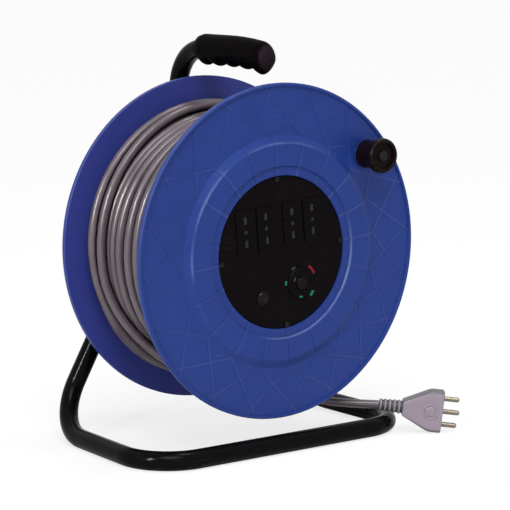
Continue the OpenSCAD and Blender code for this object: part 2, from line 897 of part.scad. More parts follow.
module cable_tail() {
    wall_x = sqrt(pow(core_r, 2) - pow(abs(tail_z) + cable_r, 2));
    start = -wall_x + 0.5;
    color([0.55, 0.54, 0.56])
        drum()
            translate([start, tail_y, tail_z])
                rotate([0, 90, 0])
                    cylinder(r = cable_r, h = -block_w / 2 - seat_gap - start, $fn = 32);
}
module tail_gland() {
    wall_x = sqrt(pow(core_r - core_wall, 2) - pow(abs(tail_z) + cable_r + 4, 2));
    color([0.06, 0.06, 0.06])
        drum()
            translate([-wall_x + seat_gap, tail_y, tail_z])
                rotate([0, 90, 0])
                    difference() {
                        cylinder(r = cable_r + 3.5, h = 12, $fn = 6);
                        translate([0, 0, -1])
                            cylinder(r = cable_r + fit_gap, h = 14, $fn = 32);
                    }
}

// ---- Knob ----

module at_knob() {
    drum()
        at_angle(knob_angle)
            translate([knob_reach, 0, 0])
                children();
}
module knob() {
    bore = knob_pin_r + running_gap;
    foot = knob_foot_f;
    end = knob_end_f;
    color([0.1, 0.07, 0.07])
        at_knob()
            turned_out(
                [
                    [bore, foot], [knob_foot_r - 1, foot], [knob_foot_r, foot + 1],
                    [knob_foot_r - 0.5, foot + 7], [knob_foot_r - 0.9, foot + 11],
                    [knob_foot_r + 0.6, foot + 16], [knob_end_r - 0.6, end - 7.5],
                    [knob_end_r, end - 5], [knob_end_r - 0.4, end - 2], [knob_end_r - 1.7, end - 0.3],
                    [knob_end_r - 3.2, end], [knob_end_r - 4.4, end - 0.9],
                    [knob_end_r - 4.9, knob_floor_f], [bore, knob_floor_f]
                ],
                -1, 72
            );
}
module knob_pin() {
    neck = knob_pin_r - 0.5;
    head = knob_floor_f + seat_gap;
    color([0.7, 0.7, 0.68])
        at_knob()
            turned_out(
                [
                    [0, inner_f - 1.8], [rivet_r - 0.8, inner_f - 1.8], [rivet_r, inner_f - 1],
                    [rivet_r, inner_f], [neck, inner_f], [neck, knob_boss_f],
                    [knob_pin_r, knob_boss_f], [knob_pin_r, head], [rivet_r + 0.5, head],
                    [rivet_r, head + 1.4], [rivet_r - 2, head + 2.2], [0, head + 2.4]
                ],
                -1, 48
            );
}

// ---- Cable on the drum ----

// Radius and place along the axle after u turns
function wound_r(u) = turn_r + layer_rise * smooth(clamped((u - low_turns) / climb_turns));
function wound_y(u) =
    let (v = u - low_turns - climb_turns)
    u < low_turns ? start_y + u * turn_pitch :
    v < 0 ? top_y :
    v < upper_turns ? top_y - upper_pitch * v :
        cross_y - (cross_y - leave_y) * (v - upper_turns) / cross_turns;
function wound_point(u) =
    let (a = leave_angle + 360 * (u - all_turns), r = wound_r(u))
    [r * cos(a), wound_y(u), r * sin(a)];
function wound_ring(p, a) = [
    for (j = [0:tube_sides - 1])
        let (b = -360 * j / tube_sides)
        p + cable_r * (cos(b) * [cos(a), 0, sin(a)] + sin(b) * [0, 1, 0])
];
wound_us = [for (i = [0:last_step]) i / steps_per_turn];
wound_points = [for (u = wound_us) wound_point(u)];
wound_angles = [for (u = wound_us) leave_angle + 360 * (u - all_turns)];
head_dir = unit([0, 0, 0] + wound_points[1] - wound_points[0]);
tail_dir = unit(wound_points[last_step] - wound_points[last_step - 1]);
wound_start = wound_points[0] - cable_d * head_dir;
wound_end = wound_points[last_step] + cable_d * tail_dir;
// Least distance between stretches that lie at least half a turn apart along the cable
half_turn = steps_per_turn / 2;
wound_gap = min([
    for (i = [0:last_step - half_turn], j = [i + half_turn:last_step])
        norm(wound_points[i] - wound_points[j])
]) - cable_d;
echo(least_gap_between_turns = wound_gap);

module cable_core() {
    riser_y = start_y - cable_r;
    start_a = atan2(wound_start[2], wound_start[0]);
    rear_y = inner_f - seat_gap;
    color([0.5, 0.49, 0.52])
        drum()
            difference() {
                union() {
                    rod(core_skin_r, -rear_y, rear_y, 144);
                    rotate([-90, 0, 0])
                        rotate([0, 0, -start_a + seat_angle])
                            rotate_extrude(angle = riser_arc, $fn = 144)
                                translate([core_r + 5, riser_y])
                                    square([turn_r + cable_r - core_r - 5, cable_d]);
                }
                rod(core_r + seat_gap, -rear_y - 1, rear_y + 1, 144);
            }
}
seat_angle = seat_gap / turn_r * 180 / PI;
module cable_winding() {
    rings = concat(
        [wound_ring(wound_start, wound_angles[0])],
        [for (i = [0:last_step]) wound_ring(wound_points[i], wound_angles[i])],
        [wound_ring(wound_end, wound_angles[last_step])]
    );
    color([0.56, 0.55, 0.58])
        drum()
            lofted(rings);
}

// ---- Free cord ----

// Smooth curve through the route's points
function spline(p, i, t) =
    let (a = p[max(i - 1, 0)], b = p[i], c = p[i + 1], d = p[min(i + 2, len(p) - 1)])
    0.5 * (2 * b + (c - a) * t + (2 * a - 5 * b + 4 * c - d) * t * t
        + (3 * b - a - 3 * c + d) * t * t * t);
cord_points = concat(
    [for (i = [0:len(cord_route) - 2], k = [0:cord_steps - 1]) spline(cord_route, i, k / cord_steps)],
    [last(cord_route)]
);
plug_dir = unit(plug_nose - plug_tail);
plug_side = unit(cross([0, 0, 1], plug_dir));
plug_up = cross(plug_dir, plug_side);
function cord_ring(i) =
    let (m = len(cord_points) - 1)
    let (d = i == m ? plug_dir : unit(cord_points[min(i + 1, m)] - cord_points[max(i - 1, 0)]))
    let (s = side_of(d), w = cross(d, s))
    [
        for (j = [0:cord_sides - 1])
            let (a = -360 * j / cord_sides)
            cord_points[i] + cable_r * (cos(a) * s + sin(a) * w)
    ];
module cord_run() {
    color([0.68, 0.67, 0.7])
        reel()
            lofted([for (i = [0:len(cord_points) - 1]) cord_ring(i)]);
}
// Frame of the plug: x along its pins, z across its width, origin on the cord's end
module on_plug() {
    reel()
        aligned(plug_tail + seat_gap * plug_dir, plug_dir, plug_side, plug_up)
            children();
}
module cord_relief() {
    ribs = 5;
    rib = relief_len / ribs;
    color([0.62, 0.6, 0.66])
        on_plug()
            rotate([0, 90, 0])
                rotate_extrude($fn = 48)
                    polygon([
                        [0, 0],
                        for (i = [0:ribs - 1])
                            let (r = relief_r + 0.25 * i)
                            each [[r, i * rib], [r, (i + 0.62) * rib], [r - 1.1, (i + 0.7) * rib],
                                  [r - 1.1, (i + 0.98) * rib]],
                        [relief_r + 0.8, relief_len], [0, relief_len]
                    ]);
}
plug_back = relief_len;
module plug_outline(inset) {
    half = plug_w / 2 - inset;
    tail_half = 7.5 - inset / 2;
    polygon([
        [plug_back + inset, -tail_half], [plug_back + plug_len - 13, -half],
        [plug_back + plug_len - inset / 2, -half], [plug_back + plug_len - inset / 2, half],
        [plug_back + plug_len - 13, half], [plug_back + inset, tail_half]
    ]);
}
module plug_body() {
    ring_x = plug_back + plug_len - 12;
    bevel = 3;
    color([0.66, 0.63, 0.7])
        on_plug()
            difference() {
                rotate([90, 0, 0])
                    hull() {
                        linear_extrude(plug_t - 2 * bevel, center = true)
                            plug_outline(0);
                        linear_extrude(plug_t, center = true)
                            plug_outline(bevel);
                    }
                for (side = [-1, 1])
                    translate([ring_x, side * plug_t / 2, 0])
                        rotate([90, 0, 0])
                            difference() {
                                cylinder(r = 7, h = 1, center = true, $fn = 48);
                                cylinder(r = 5.6, h = 2, center = true, $fn = 48);
                            }
            }
}
module plug_pins() {
    face = plug_back + plug_len;
    color([0.78, 0.7, 0.5])
        on_plug()
            for (i = [-1:1])
                translate([face, 0, i * plug_pin_pitch])
                    rotate([0, 90, 0])
                        rotate_extrude($fn = 40)
                            polygon([
                                [0, 0], [plug_pin_r, 0], [plug_pin_r, pin_long(i) - pin_round],
                                [plug_pin_r - pin_round, pin_long(i)], [0, pin_long(i)]
                            ]);
}
function pin_long(i) = plug_pin_len + (i == 0 ? 1.5 : 0);

base_tube();
carry_tube();
hub_plate();
grip();
axle();
axle_nut();
axle_washer();
retaining_nut();
retaining_washer();
thrust_washer();
rear_bush();
front_bush();
rear_flange();
drum_core();
front_flange();
drum_bolts();
socket_panel();
panel_screws();
socket_1();
socket_2();
socket_3();
socket_4();
contact_bars();
cutout_body();
reset_button();
pilot_lamp();
terminal_block();
cable_tail();
tail_gland();
knob();
knob_pin();
cable_core();
cable_winding();
cord_run();
cord_relief();
plug_body();
plug_pins();
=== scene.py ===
"""Cable reel on a bent tube stand: camera, cable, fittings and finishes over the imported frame.

The reel's own axes meet in the middle of its axle, halfway between the two flanges: X to the right, +Y to the back
and Z up. Sizes are millimetres in these axes unless a line says otherwise, and place() carries them into the frame,
which is in metres.
"""

import logging
import math
from dataclasses import dataclass, field
from enum import Enum
from typing import Union

import bpy
import numpy as np
from mathutils import Matrix


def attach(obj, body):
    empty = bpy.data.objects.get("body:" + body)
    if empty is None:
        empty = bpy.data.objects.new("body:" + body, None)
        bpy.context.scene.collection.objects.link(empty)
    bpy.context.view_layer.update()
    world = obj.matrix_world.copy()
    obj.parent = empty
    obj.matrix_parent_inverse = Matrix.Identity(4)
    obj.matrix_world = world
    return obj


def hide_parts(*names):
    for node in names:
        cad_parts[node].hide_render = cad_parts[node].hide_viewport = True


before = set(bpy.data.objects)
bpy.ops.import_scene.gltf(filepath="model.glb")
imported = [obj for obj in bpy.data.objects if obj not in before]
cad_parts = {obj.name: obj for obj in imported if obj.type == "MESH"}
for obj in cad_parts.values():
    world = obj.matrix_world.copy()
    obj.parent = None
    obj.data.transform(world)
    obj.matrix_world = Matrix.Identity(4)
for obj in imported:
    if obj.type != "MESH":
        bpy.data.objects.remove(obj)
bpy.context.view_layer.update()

LOG = logging.getLogger("reel")
AXLE_PLACE = np.array([1.8942303805, -6.35, 191.0])
DRUM_TURN = math.radians(5.0)
CABLE_R = 4.25
CORD_START = (-14.9, -9.3, -134.2)
BACK = np.array([0.0, 1.0, 0.0])
UP = np.array([0.0, 0.0, 1.0])
Socket = bpy.types.NodeSocket
Value = Union[bpy.types.NodeSocket, float, tuple]
Colour = tuple[float, float, float]


class Body(Enum):
    """Rigid bodies that a piece can ride on."""

    STAND = "stand"
    DRUM = "drum"


# ---- Points, frames and shells ----


def place(points: np.ndarray) -> np.ndarray:
    """Millimetres in the reel's axes to metres in the frame."""
    return (np.asarray(points, float) + AXLE_PLACE) / 1000


def spun(points: np.ndarray, angle: float = DRUM_TURN) -> np.ndarray:
    """Turns points about the axle, from X towards Z.

    Args:
        points: points of the drum's own axes.
        angle: how far the drum stands turned, in radians.

    Returns:
        The points in the reel's axes: x cos - z sin, y, x sin + z cos.
    """
    x, y, z = np.moveaxis(np.asarray(points, float), -1, 0)
    c, s = math.cos(angle), math.sin(angle)
    return np.stack([x * c - z * s, y, x * s + z * c], -1)


def unit(v: np.ndarray) -> np.ndarray:
    """Vectors scaled to length one along their last axis."""
    v = np.asarray(v, float)
    return v / np.linalg.norm(v, axis=-1, keepdims=True)


def smooth(t: np.ndarray) -> np.ndarray:
    """The eased step 3t^2 - 2t^3 of t held between 0 and 1."""
    t = np.clip(t, 0, 1)
    return t * t * (3 - 2 * t)


def around(count: int) -> np.ndarray:
    """Angles of that many equal steps round a circle."""
    return np.arange(count) * (2 * math.pi / count)


def swept(path: np.ndarray, side: np.ndarray, radius: np.ndarray | float, sides: int) -> np.ndarray:
    """Rings of a round tube along a path.

    Ring i is path(i) + radius(i) (cos b s + sin b n), where s is the side direction made square to the path and
    n is the tangent crossed with s.

    Args:
        path: the centreline, one point a row.
        side: a direction across the path for each point, or one for all.
        radius: the tube's radius, one number or one a point.
        sides: points in a ring.

    Returns:
        An array of rings by sides by 3.
    """
    tangent = unit(np.gradient(path, axis=0))
    side = np.broadcast_to(side, path.shape)
    side = unit(side - tangent * np.sum(side * tangent, -1, keepdims=True))
    other = np.cross(tangent, side)
    b = around(sides)[None, :, None]
    wide = np.broadcast_to(np.asarray(radius, float), (len(path),))[:, None, None]
    return path[:, None] + wide * (np.cos(b) * side[:, None] + np.sin(b) * other[:, None])


def turned(profile: np.ndarray, origin: np.ndarray, axis: np.ndarray, sides: int) -> np.ndarray:
    """Rings of a profile turned round an axis.

    Ring i is origin + along(i) axis + radius(i) (cos a e + sin a f), with e and f square to the axis.

    Args:
        profile: rows of radius and distance along the axis.
        origin: a point on the axis.
        axis: the axis's direction.
        sides: points in a ring.

    Returns:
        An array of rings by sides by 3.
    """
    axis = unit(axis)
    e = unit(np.cross(axis, [0.0, 0.0, 1.0] if abs(axis[2]) < 0.9 else [1.0, 0.0, 0.0]))
    f = np.cross(axis, e)
    profile = np.asarray(profile, float)
    a = around(sides)[None, :, None]
    rim = np.cos(a) * e + np.sin(a) * f
    return np.asarray(origin, float) + profile[:, 1, None, None] * axis + profile[:, 0, None, None] * rim


def spline(points: np.ndarray, steps: int) -> np.ndarray:
    """The smooth curve through points whose tangent at each is half the step between its neighbours.

    Args:
        points: the points it passes through.
        steps: points to a span.

    Returns:
        (len(points) - 1) * steps + 1 points.
    """
    p = np.asarray(points, float)
    before, after = np.vstack([p[:1], p[:-2]]), np.vstack([p[2:], p[-1:]])
    a, b, c, d = (q[:, None] for q in (before, p[:-1], p[1:], after))
    t = (np.arange(steps) / steps)[None, :, None]
    curve = 0.5 * (2 * b + (c - a) * t + (2 * a - 5 * b + 4 * c - d) * t**2 + (3 * b - a - 3 * c + d) * t**3)
    return np.vstack([curve.reshape(-1, 3), p[-1:]])


def lengths(path: np.ndarray) -> np.ndarray:
    """Distance along a path at each of its points."""
    return np.concatenate([[0.0], np.cumsum(np.linalg.norm(np.diff(path, axis=0), axis=1))])


def quad_grid(rows: int, sides: int, closed: bool = False) -> np.ndarray:
    """Corner numbers of the quads between rings of points that are counted row by row.

    Args:
        rows: how many rings.
        sides: points in a ring.
        closed: whether the last ring joins the first.

    Returns:
        One row of four numbers a quad.
    """
    i, j = np.arange(rows if closed else rows - 1)[:, None], np.arange(sides)[None, :]
    near, far, k = i * sides, (i + 1) % rows * sides, (j + 1) % sides
    return np.stack([near + j, far + j, far + k, near + k], -1).reshape(-1, 4)


def linked(name: str, data: bpy.types.ID) -> bpy.types.Object:
    """An object of that name and data, in the scene."""
    made = bpy.data.objects.new(name, data)
    bpy.context.scene.collection.objects.link(made)
    return made


def stood(back: np.ndarray, over: tuple, at: np.ndarray) -> Matrix:
    """The pose of a camera or lamp.

    Args:
        back: the direction behind it.
        over: a direction that its side is square to.
        at: where it stands, in metres.

    Returns:
        Its matrix: right, up, back and place as columns.
    """
    right = unit(np.cross(over, back))
    columns = [*right, 0.0], [*np.cross(back, right), 0.0], [*back, 0.0], [*at, 1.0]
    return Matrix(columns).transposed()


class Shell:
    """Closed shells gathered from grids of points, then made into one piece."""

    def __init__(self) -> None:
        """Starts empty."""
        self.points: list[np.ndarray] = []
        self.faces: list[list[list[int]]] = []
        self.uvs: list[np.ndarray] = []
        # Painted light and shade of each point, one array a shell, kept as the attribute mark.
        self.marks: list[np.ndarray] = []
        self.count = 0

    def loft(
        self, rings: np.ndarray, closed: bool = False, along: np.ndarray | None = None, mark: np.ndarray | float = 0.0
    ) -> "Shell":
        """Adds a shell through rings: quads from ring to ring and point to point, and a fan over each open end.

        Args:
            rings: rings by points by 3, in millimetres in the reel's axes.
            closed: whether the last ring joins the first, which leaves no ends.
            along: the second UV coordinate of each ring, the ring's number where it isn't given.
            mark: how far each point takes its finish's painted light or shade colour, 0 to 1, as the attribute mark.

        Returns:
            This shell, so that calls can follow each other.
        """
        m, n = rings.shape[:2]
        quads = quad_grid(m, n, closed)
        i, j = np.arange(m if closed else m - 1)[:, None], np.arange(n)[None, :]
        v = np.arange(m + 1, dtype=float) if along is None else np.append(along, along[-1])
        low, high = np.broadcast_to(v[i], (len(i), n)), np.broadcast_to(v[i + 1], (len(i), n))
        left, right = np.broadcast_to(j / n, low.shape), np.broadcast_to((j + 1) / n, low.shape)
        quad_uv = np.stack([left, low, left, high, right, high, right, low], -1).reshape(-1, 4, 2)
        points, tris = [rings.reshape(-1, 3)], np.zeros((0, 3), int)
        if not closed:
            points.append(rings[[0, -1]].mean(axis=1))
            one, two = np.arange(n), (np.arange(n) + 1) % n
            last, middle = (m - 1) * n, m * n
            front = np.stack([np.full(n, middle), one, two], -1)
            back = np.stack([np.full(n, middle + 1), last + two, last + one], -1)
            tris = np.vstack([front, back])
        flat = np.vstack(points)
        split = np.vstack([quads[:, [0, 1, 2]], quads[:, [0, 2, 3]], tris])
        p, q, r = (flat[split[:, s]] - flat.mean(axis=0) for s in range(3))
        if np.sum(p * np.cross(q, r)) < 0:
            quads, quad_uv, tris = quads[:, ::-1], quad_uv[:, ::-1], tris[:, ::-1]
        self.points.append(flat)
        self.marks += [np.broadcast_to(mark, (m, n)).ravel(), np.zeros(len(flat) - m * n)]
        self.faces += [(quads + self.count).tolist(), (tris + self.count).tolist()]
        self.uvs += [quad_uv.reshape(-1, 2), np.tile([0.5, v[0]], (3 * len(tris), 1))]
        self.count += len(flat)
        return self

    def piece(self, name: str, finish: "Finish", body: Body, crease: float = 35.0) -> bpy.types.Object:
        """Makes the gathered shells one object that rides on a body.

        Args:
            name: the object's name.
            finish: what it is made of.
            body: what it rides on.
            crease: edges sharper than this many degrees stay sharp.

        Returns:
            The object.
        """
        mesh = bpy.data.meshes.new(name)
        faces = [face for group in self.faces for face in group]
        mesh.from_pydata(place(np.vstack(self.points)).tolist(), [], faces)
        layer = mesh.uv_layers.new(name="surface")
        layer.data.foreach_set("uv", np.vstack(self.uvs).astype(np.float32).ravel())
        mesh.attributes.new("mark", "FLOAT", "POINT").data.foreach_set("value", np.concatenate(self.marks))
        mesh.polygons.foreach_set("use_smooth", np.ones(len(mesh.polygons), bool))
        mesh.set_sharp_from_angle(angle=math.radians(crease))
        mesh.materials.append(finish.material())
        mesh.update()
        piece = linked(name, mesh)
        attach(piece, body.value)
        LOG.info("%s: %d points, %d faces, on %s", name, len(mesh.vertices), len(mesh.polygons), body.value)
        return piece


# ---- Finishes ----


def linear(colour: Colour, factor: float = 1.0) -> tuple[float, float, float, float]:
    """A colour written as 0 to 255 on a screen, as scene-linear RGBA.

    Args:
        colour: red, green and blue.
        factor: how much lighter it is made.

    Returns:
        Red, green, blue and alpha.
    """
    c = np.clip(np.array(colour, float) / 255, 0, 1)
    c = np.where(c <= 0.04045, c / 12.92, ((c + 0.055) / 1.055) ** 2.4)
    return (*np.clip(c * factor, 0, 1).tolist(), 1.0)


class Nodes:
    """A node tree while it is put together."""

    def __init__(self, tree: bpy.types.NodeTree) -> None:
        """Adds nodes to a tree."""
        self.tree = tree

    def add(self, kind: str, inputs: dict | None = None, **settings: object) -> bpy.types.Node:
        """Adds a node of one kind with its settings, and feeds its inputs by name or number."""
        made = self.tree.nodes.new(kind)
        for key, value in settings.items():
            setattr(made, key, value)
        for key, value in (inputs or {}).items():
            self.feed(made.inputs[key], value)
        return made

    def feed(self, target: Socket, value: Value) -> None:
        """Links a socket into another, or writes a plain value on it."""
        if isinstance(value, Socket):
            self.tree.links.new(value, target)
        else:
            target.default_value = value

    def maths(self, operation: str, a: Value, b: Value = 0.0) -> Socket:
        """One arithmetic step on two values."""
        return self.add("ShaderNodeMath", {0: a, 1: b}, operation=operation).outputs[0]

    def times(self, a: Value, b: Value) -> Socket:
        """The product of two values."""
        return self.maths("MULTIPLY", a, b)

    def plus(self, a: Value, b: Value) -> Socket:
        """The sum of two values."""
        return self.maths("ADD", a, b)

    def larger(self, a: Value, b: Value) -> Socket:
        """The larger of two values."""
        return self.maths("MAXIMUM", a, b)


class Shader(Nodes):
    """A node material while it is put together."""

    def __init__(self, name: str) -> None:
        """Starts a material of that name from one Principled surface."""
        self.material = bpy.data.materials.new(name)
        self.material.use_nodes = True
        super().__init__(self.material.node_tree)
        self.surface = self.tree.nodes["Principled BSDF"]

    def coordinates(self, scale: tuple = (1, 1, 1), turn: tuple = (0, 0, 0), uv: bool = False) -> Socket:
        """Object coordinates with the axle as their origin, or the piece's own UV map.

        Args:
            scale: how much each axis is stretched, after the turn.
            turn: the turn of the pattern about X, Y and Z, in radians.
            uv: reads the UV map, without moving its origin.

        Returns:
            The vector.
        """
        source = self.add("ShaderNodeTexCoord").outputs["UV" if uv else "Object"]
        if not uv:
            middle = tuple(AXLE_PLACE / 1000)
            source = self.add("ShaderNodeVectorMath", {0: source, 1: middle}, operation="SUBTRACT").outputs[0]
        return self.add("ShaderNodeMapping", {"Vector": source, "Rotation": turn, "Scale": scale}).outputs[0]

    def axial(self) -> tuple[Socket, Socket, Socket, Socket]:
        """X, y and z from the axle's middle, and the distance from the axle."""
        x, y, z = self.add("ShaderNodeSeparateXYZ", {0: self.coordinates()}).outputs
        return x, y, z, self.maths("SQRT", self.plus(self.times(x, x), self.times(z, z)))

    def mark(self) -> Socket:
        """The piece's attribute mark, its painted light or shade; 0 where it has none."""
        return self.add("ShaderNodeAttribute", attribute_name="mark").outputs["Fac"]

    def noise(self, vector: Socket, scale: float, detail: float = 3.0) -> Socket:
        """Cloudy noise between 0 and 1."""
        values = {"Vector": vector, "Scale": scale, "Detail": detail, "Roughness": 0.55}
        return self.add("ShaderNodeTexNoise", values).outputs[0]

    def clouds(self, scale: float, detail: float = 3.0) -> Socket:
        """Cloudy noise on the object's own coordinates."""
        return self.noise(self.coordinates(), scale, detail)

    def cells(self, scale: float) -> Socket:
        """Distance to the nearest of scattered points, for pits and prisms."""
        return self.add("ShaderNodeTexVoronoi", {"Vector": self.coordinates(), "Scale": scale}).outputs["Distance"]

    def span(self, value: Socket, low: float, high: float) -> Socket:
        """Eases a value from 0 at low to 1 at high."""
        values = {"Value": value, "From Min": low, "From Max": high}
        return self.add("ShaderNodeMapRange", values, interpolation_type="SMOOTHSTEP").outputs["Result"]

    def band(self, value: Socket, rise: tuple, fall: tuple) -> Socket:
        """1 between two spans, each given by its ends, and 0 outside them."""
        return self.times(self.span(value, *rise), self.span(value, *fall))

    def blend(self, factor: Socket, a: Value, b: Value) -> Socket:
        """Mixes two colours by a factor."""
        return self.add("ShaderNodeMix", {0: factor, 6: a, 7: b}, data_type="RGBA").outputs[2]

    def bump(self, height: Socket, distance: float, strength: float = 0.5, under: Socket | None = None) -> Socket:
        """Bump from a height between 0 and 1.

        Args:
            height: the height.
            distance: what a height of 1 stands for, in metres.
            strength: how much of it shows.
            under: the normal of a coarser bump below it.

        Returns:
            The normal.
        """
        values = {"Height": height, "Distance": distance, "Strength": strength}
        if under is not None:
            values["Normal"] = under
        return self.add("ShaderNodeBump", values).outputs[0]

    def streaks(self, turn: tuple, length: float, width: float, rarity: float) -> Socket:
        """Thin broken scratches that all run one way.

        Noise is stretched along one axis and only its peaks are kept, times a slower noise that breaks them up.

        Args:
            turn: the turn of their direction, in radians.
            length: waves a metre along them.
            width: waves a metre across them.
            rarity: the level that a peak must pass, between 0.5 and 0.8.

        Returns:
            1 on a scratch and 0 off it.
        """
        fine = self.noise(self.coordinates((length, length, width), turn), 1.0, 1.0)
        patch = self.noise(self.coordinates(turn=turn), 22.0, 2.0)
        return self.times(self.span(fine, rarity, rarity + 0.05), self.span(patch, 0.48, 0.62))

    def done(self, **values: Value) -> bpy.types.Material:
        """Sets the surface's sockets by name, with _ for a space, and returns the material."""
        for key, value in values.items():
            self.feed(self.surface.inputs[key.replace("_", " ")], value)
        return self.material


@dataclass(frozen=True)
class Finish:
    """What a piece is made of: its record slot and how its material is made."""

    name: str
    slot: str
    colour: Colour

    def build(self) -> bpy.types.Material:
        """Makes the material."""
        raise NotImplementedError

    def material(self) -> bpy.types.Material:
        """The one material of this finish, made at its first use."""
        return bpy.data.materials.get(self.name) or self.build()


@dataclass(frozen=True)
class MouldedPlastic(Finish):
    """Injection moulded plastic: slow clouds in its colour, fine grain, light scuffs and rubbed patches."""

    roughness: float = 0.42
    clouds: float = 24.0
    depth: float = 0.14
    scuff: float = 0.25
    grain: float = 2600.0
    grain_height: float = 0.00002
    gloss: float = 0.5
    # Colour of painted light or shade, taken where the piece's attribute mark is set.
    painted_light_colour: Colour | None = None

    def worn(self, s: Shader, colour: Socket, pale: tuple) -> Socket:
        """Hook for wear and painted highlights that belong to one shape; plain moulded plastic has none."""
        return colour

    def build(self) -> bpy.types.Material:
        """Clouds in the colour, painted light or shade where the piece has marks, and scratches of two directions."""
        s = Shader(self.name)
        pale = linear(tuple(c + (255 - c) * 0.35 for c in self.colour))
        cloud = s.clouds(self.clouds, 5.0)
        colour = s.blend(cloud, linear(self.colour, 1 - self.depth), linear(self.colour, 1 + self.depth))
        # Painted light or shade from the piece's attribute mark.
        if self.painted_light_colour:
            colour = s.blend(s.mark(), colour, linear(self.painted_light_colour))
        speck = s.span(s.clouds(420.0, 2.0), 0.62, 0.8)
        scratch = s.larger(
            s.streaks((0.2, 0.7, 0.0), 34.0, 1100.0, 0.69), s.streaks((1.1, -0.9, 0.4), 42.0, 1300.0, 0.7)
        )
        marks = s.times(s.larger(scratch, s.times(speck, 0.3)), self.scuff)
        colour = s.blend(marks, self.worn(s, colour, pale), pale)
        rough = s.plus(s.times(cloud, 0.16), s.times(marks, 0.4))
        grain = s.bump(s.clouds(self.grain, 2.0), self.grain_height, 0.6)
        return s.done(
            Base_Color=colour,
            Roughness=s.plus(rough, self.roughness - 0.08),
            Normal=s.bump(s.clouds(38.0, 2.0), 0.0004, 0.35, grain),
            Specular_IOR_Level=self.gloss,
        )


@dataclass(frozen=True)
class FlangePlastic(MouldedPlastic):
    """The flanges' plastic: painted highlights on the crests and the plateau's and ring's edges, and a pale worn rim.
    """

    ring_y: float = 0.0685
    ring_r: float = 0.0818
    plateau_y: float = 0.0705
    field_y: float = 0.066
    slope: tuple = (0.103, 0.111)
    crest: tuple = (0.00015, 0.00035)
    crest_r: float = 0.1563
    edge: tuple = ((0.1022, 0.1034), (0.1056, 0.1042))
    ring_edge: tuple = ((0.0812, 0.082), (0.0834, 0.0826))
    rim: tuple = (0.159, 0.16)
    inside: tuple = (0.0642, 0.0632)
    skin: float = 0.0005
    core_r: float = 0.084
    patchy: tuple = (0.38, 0.66)
    broken: tuple = (0.36, 0.56)
    # most and least ease the painted highlights on the plateau's edge towards the upper left and on the ring's edge
    # towards the lower right.
    most: tuple = (0.03, 0.1)
    least: tuple = (0.03, 0.09)
    # Strengths of the painted highlights on the crests, the plateau's edge and the ring's edge, then of the rim's
    # wear.
    crest_highlight: tuple = (0.12, 0.02)
    edge_highlight: tuple = (0.5, 0.06)
    ring_highlight: float = 0.45
    rim_rub: float = 0.02
    inner: Colour = (47, 56, 128)

    def worn(self, s: Shader, colour: Socket, pale: tuple) -> Socket:
        """Adds painted highlights on the crests and edges, a pale worn rim and the inner faces' tint.

        The face's level is the plateau's, falls to the field's over the slope, and is the ring's within ring_r. A
        point more than 0.2 mm above it is on a crest, and the crests get a painted highlight. The plateau's edge and
        the rim are bands of the distance from the axle, broken up by noise: the plateau's edge gets a painted
        highlight, strongest at its upper left, the ring's edge a painted highlight at its lower right, and the rim is
        worn a little paler. Outside the core's radius the inner faces are blended towards the inner colour.

        Args:
            s: the material in the making.
            colour: the plastic's colour so far.
            pale: the colour of scuffs, of the rim's wear and of the painted highlights.

        Returns:
            The colour with the wear in it.
        """
        x, y, z, radius = s.axial()
        depth = s.maths("ABSOLUTE", y)
        low, high = self.slope
        ends = {"From Min": low, "From Max": high, "To Min": self.plateau_y, "To Max": self.field_y}
        shoulder = s.add("ShaderNodeMapRange", {"Value": radius, **ends}).outputs["Result"]
        step = s.times(s.maths("LESS_THAN", radius, self.ring_r), self.plateau_y - self.ring_y)
        above = s.maths("SUBTRACT", depth, s.maths("SUBTRACT", shoulder, step))
        # The ridges' crests, which get a painted highlight.
        crest = s.times(s.span(above, *self.crest), s.maths("LESS_THAN", radius, self.crest_r))
        patch = s.span(s.clouds(11.0), *self.patchy)
        # Painted highlight along the plateau's edge, strongest towards the upper left.
        edge = s.band(radius, *self.edge)
        broken = s.span(s.clouds(9.0), *self.broken)
        most = s.span(s.maths("SUBTRACT", z, x), *self.most)
        plateau_highlight = s.times(s.times(edge, s.plus(s.times(most, self.edge_highlight[0]), self.edge_highlight[1])), broken)
        # Painted highlight along the ring's edge, at the lower right.
        inner = s.band(radius, *self.ring_edge)
        least = s.times(s.span(s.maths("SUBTRACT", x, z), *self.least), s.times(inner, self.ring_highlight))
        # The rim, worn a little paler.
        rim = s.times(s.span(radius, *self.rim), self.rim_rub)
        # The crests' painted highlight, stronger in noisy patches.
        worn = s.times(crest, s.plus(s.times(patch, self.crest_highlight[0]), self.crest_highlight[1]))
        colour = s.blend(worn, colour, pale)
        # The edges' painted highlights, on the outer faces only, over the rim's wear.
        outside = s.maths("GREATER_THAN", depth, self.field_y - self.skin)
        colour = s.blend(s.times(s.larger(plateau_highlight, least), outside), s.blend(rim, colour, pale), pale)
        tint = s.times(s.span(depth, *self.inside), s.maths("GREATER_THAN", radius, self.core_r))
        return s.blend(tint, colour, linear(self.inner))


@dataclass(frozen=True)
class Enamel(Finish):
    """Thick stoved enamel on steel tube: orange peel, fine dust and worn specks."""

    roughness: float = 0.16

    def build(self) -> bpy.types.Material:
        """Gloss over a slow wave, with dust that dulls it in patches."""
        s = Shader(self.name)
        dust = s.span(s.clouds(55.0, 5.0), 0.45, 0.8)
        scratch = s.streaks((0.5, 0.3, 0.0), 20.0, 1300.0, 0.69)
        colour = s.blend(dust, linear(self.colour), linear(tuple(c + 5 for c in self.colour)))
        return s.done(
            Base_Color=s.blend(s.times(scratch, 0.12), colour, linear((96, 95, 96))),
            Roughness=s.plus(s.times(s.larger(dust, scratch), 0.2), self.roughness),
            Normal=s.bump(s.clouds(420.0, 1.0), 0.00004, 0.5),
            Specular_IOR_Level=0.18,
            IOR=1.22,
        )


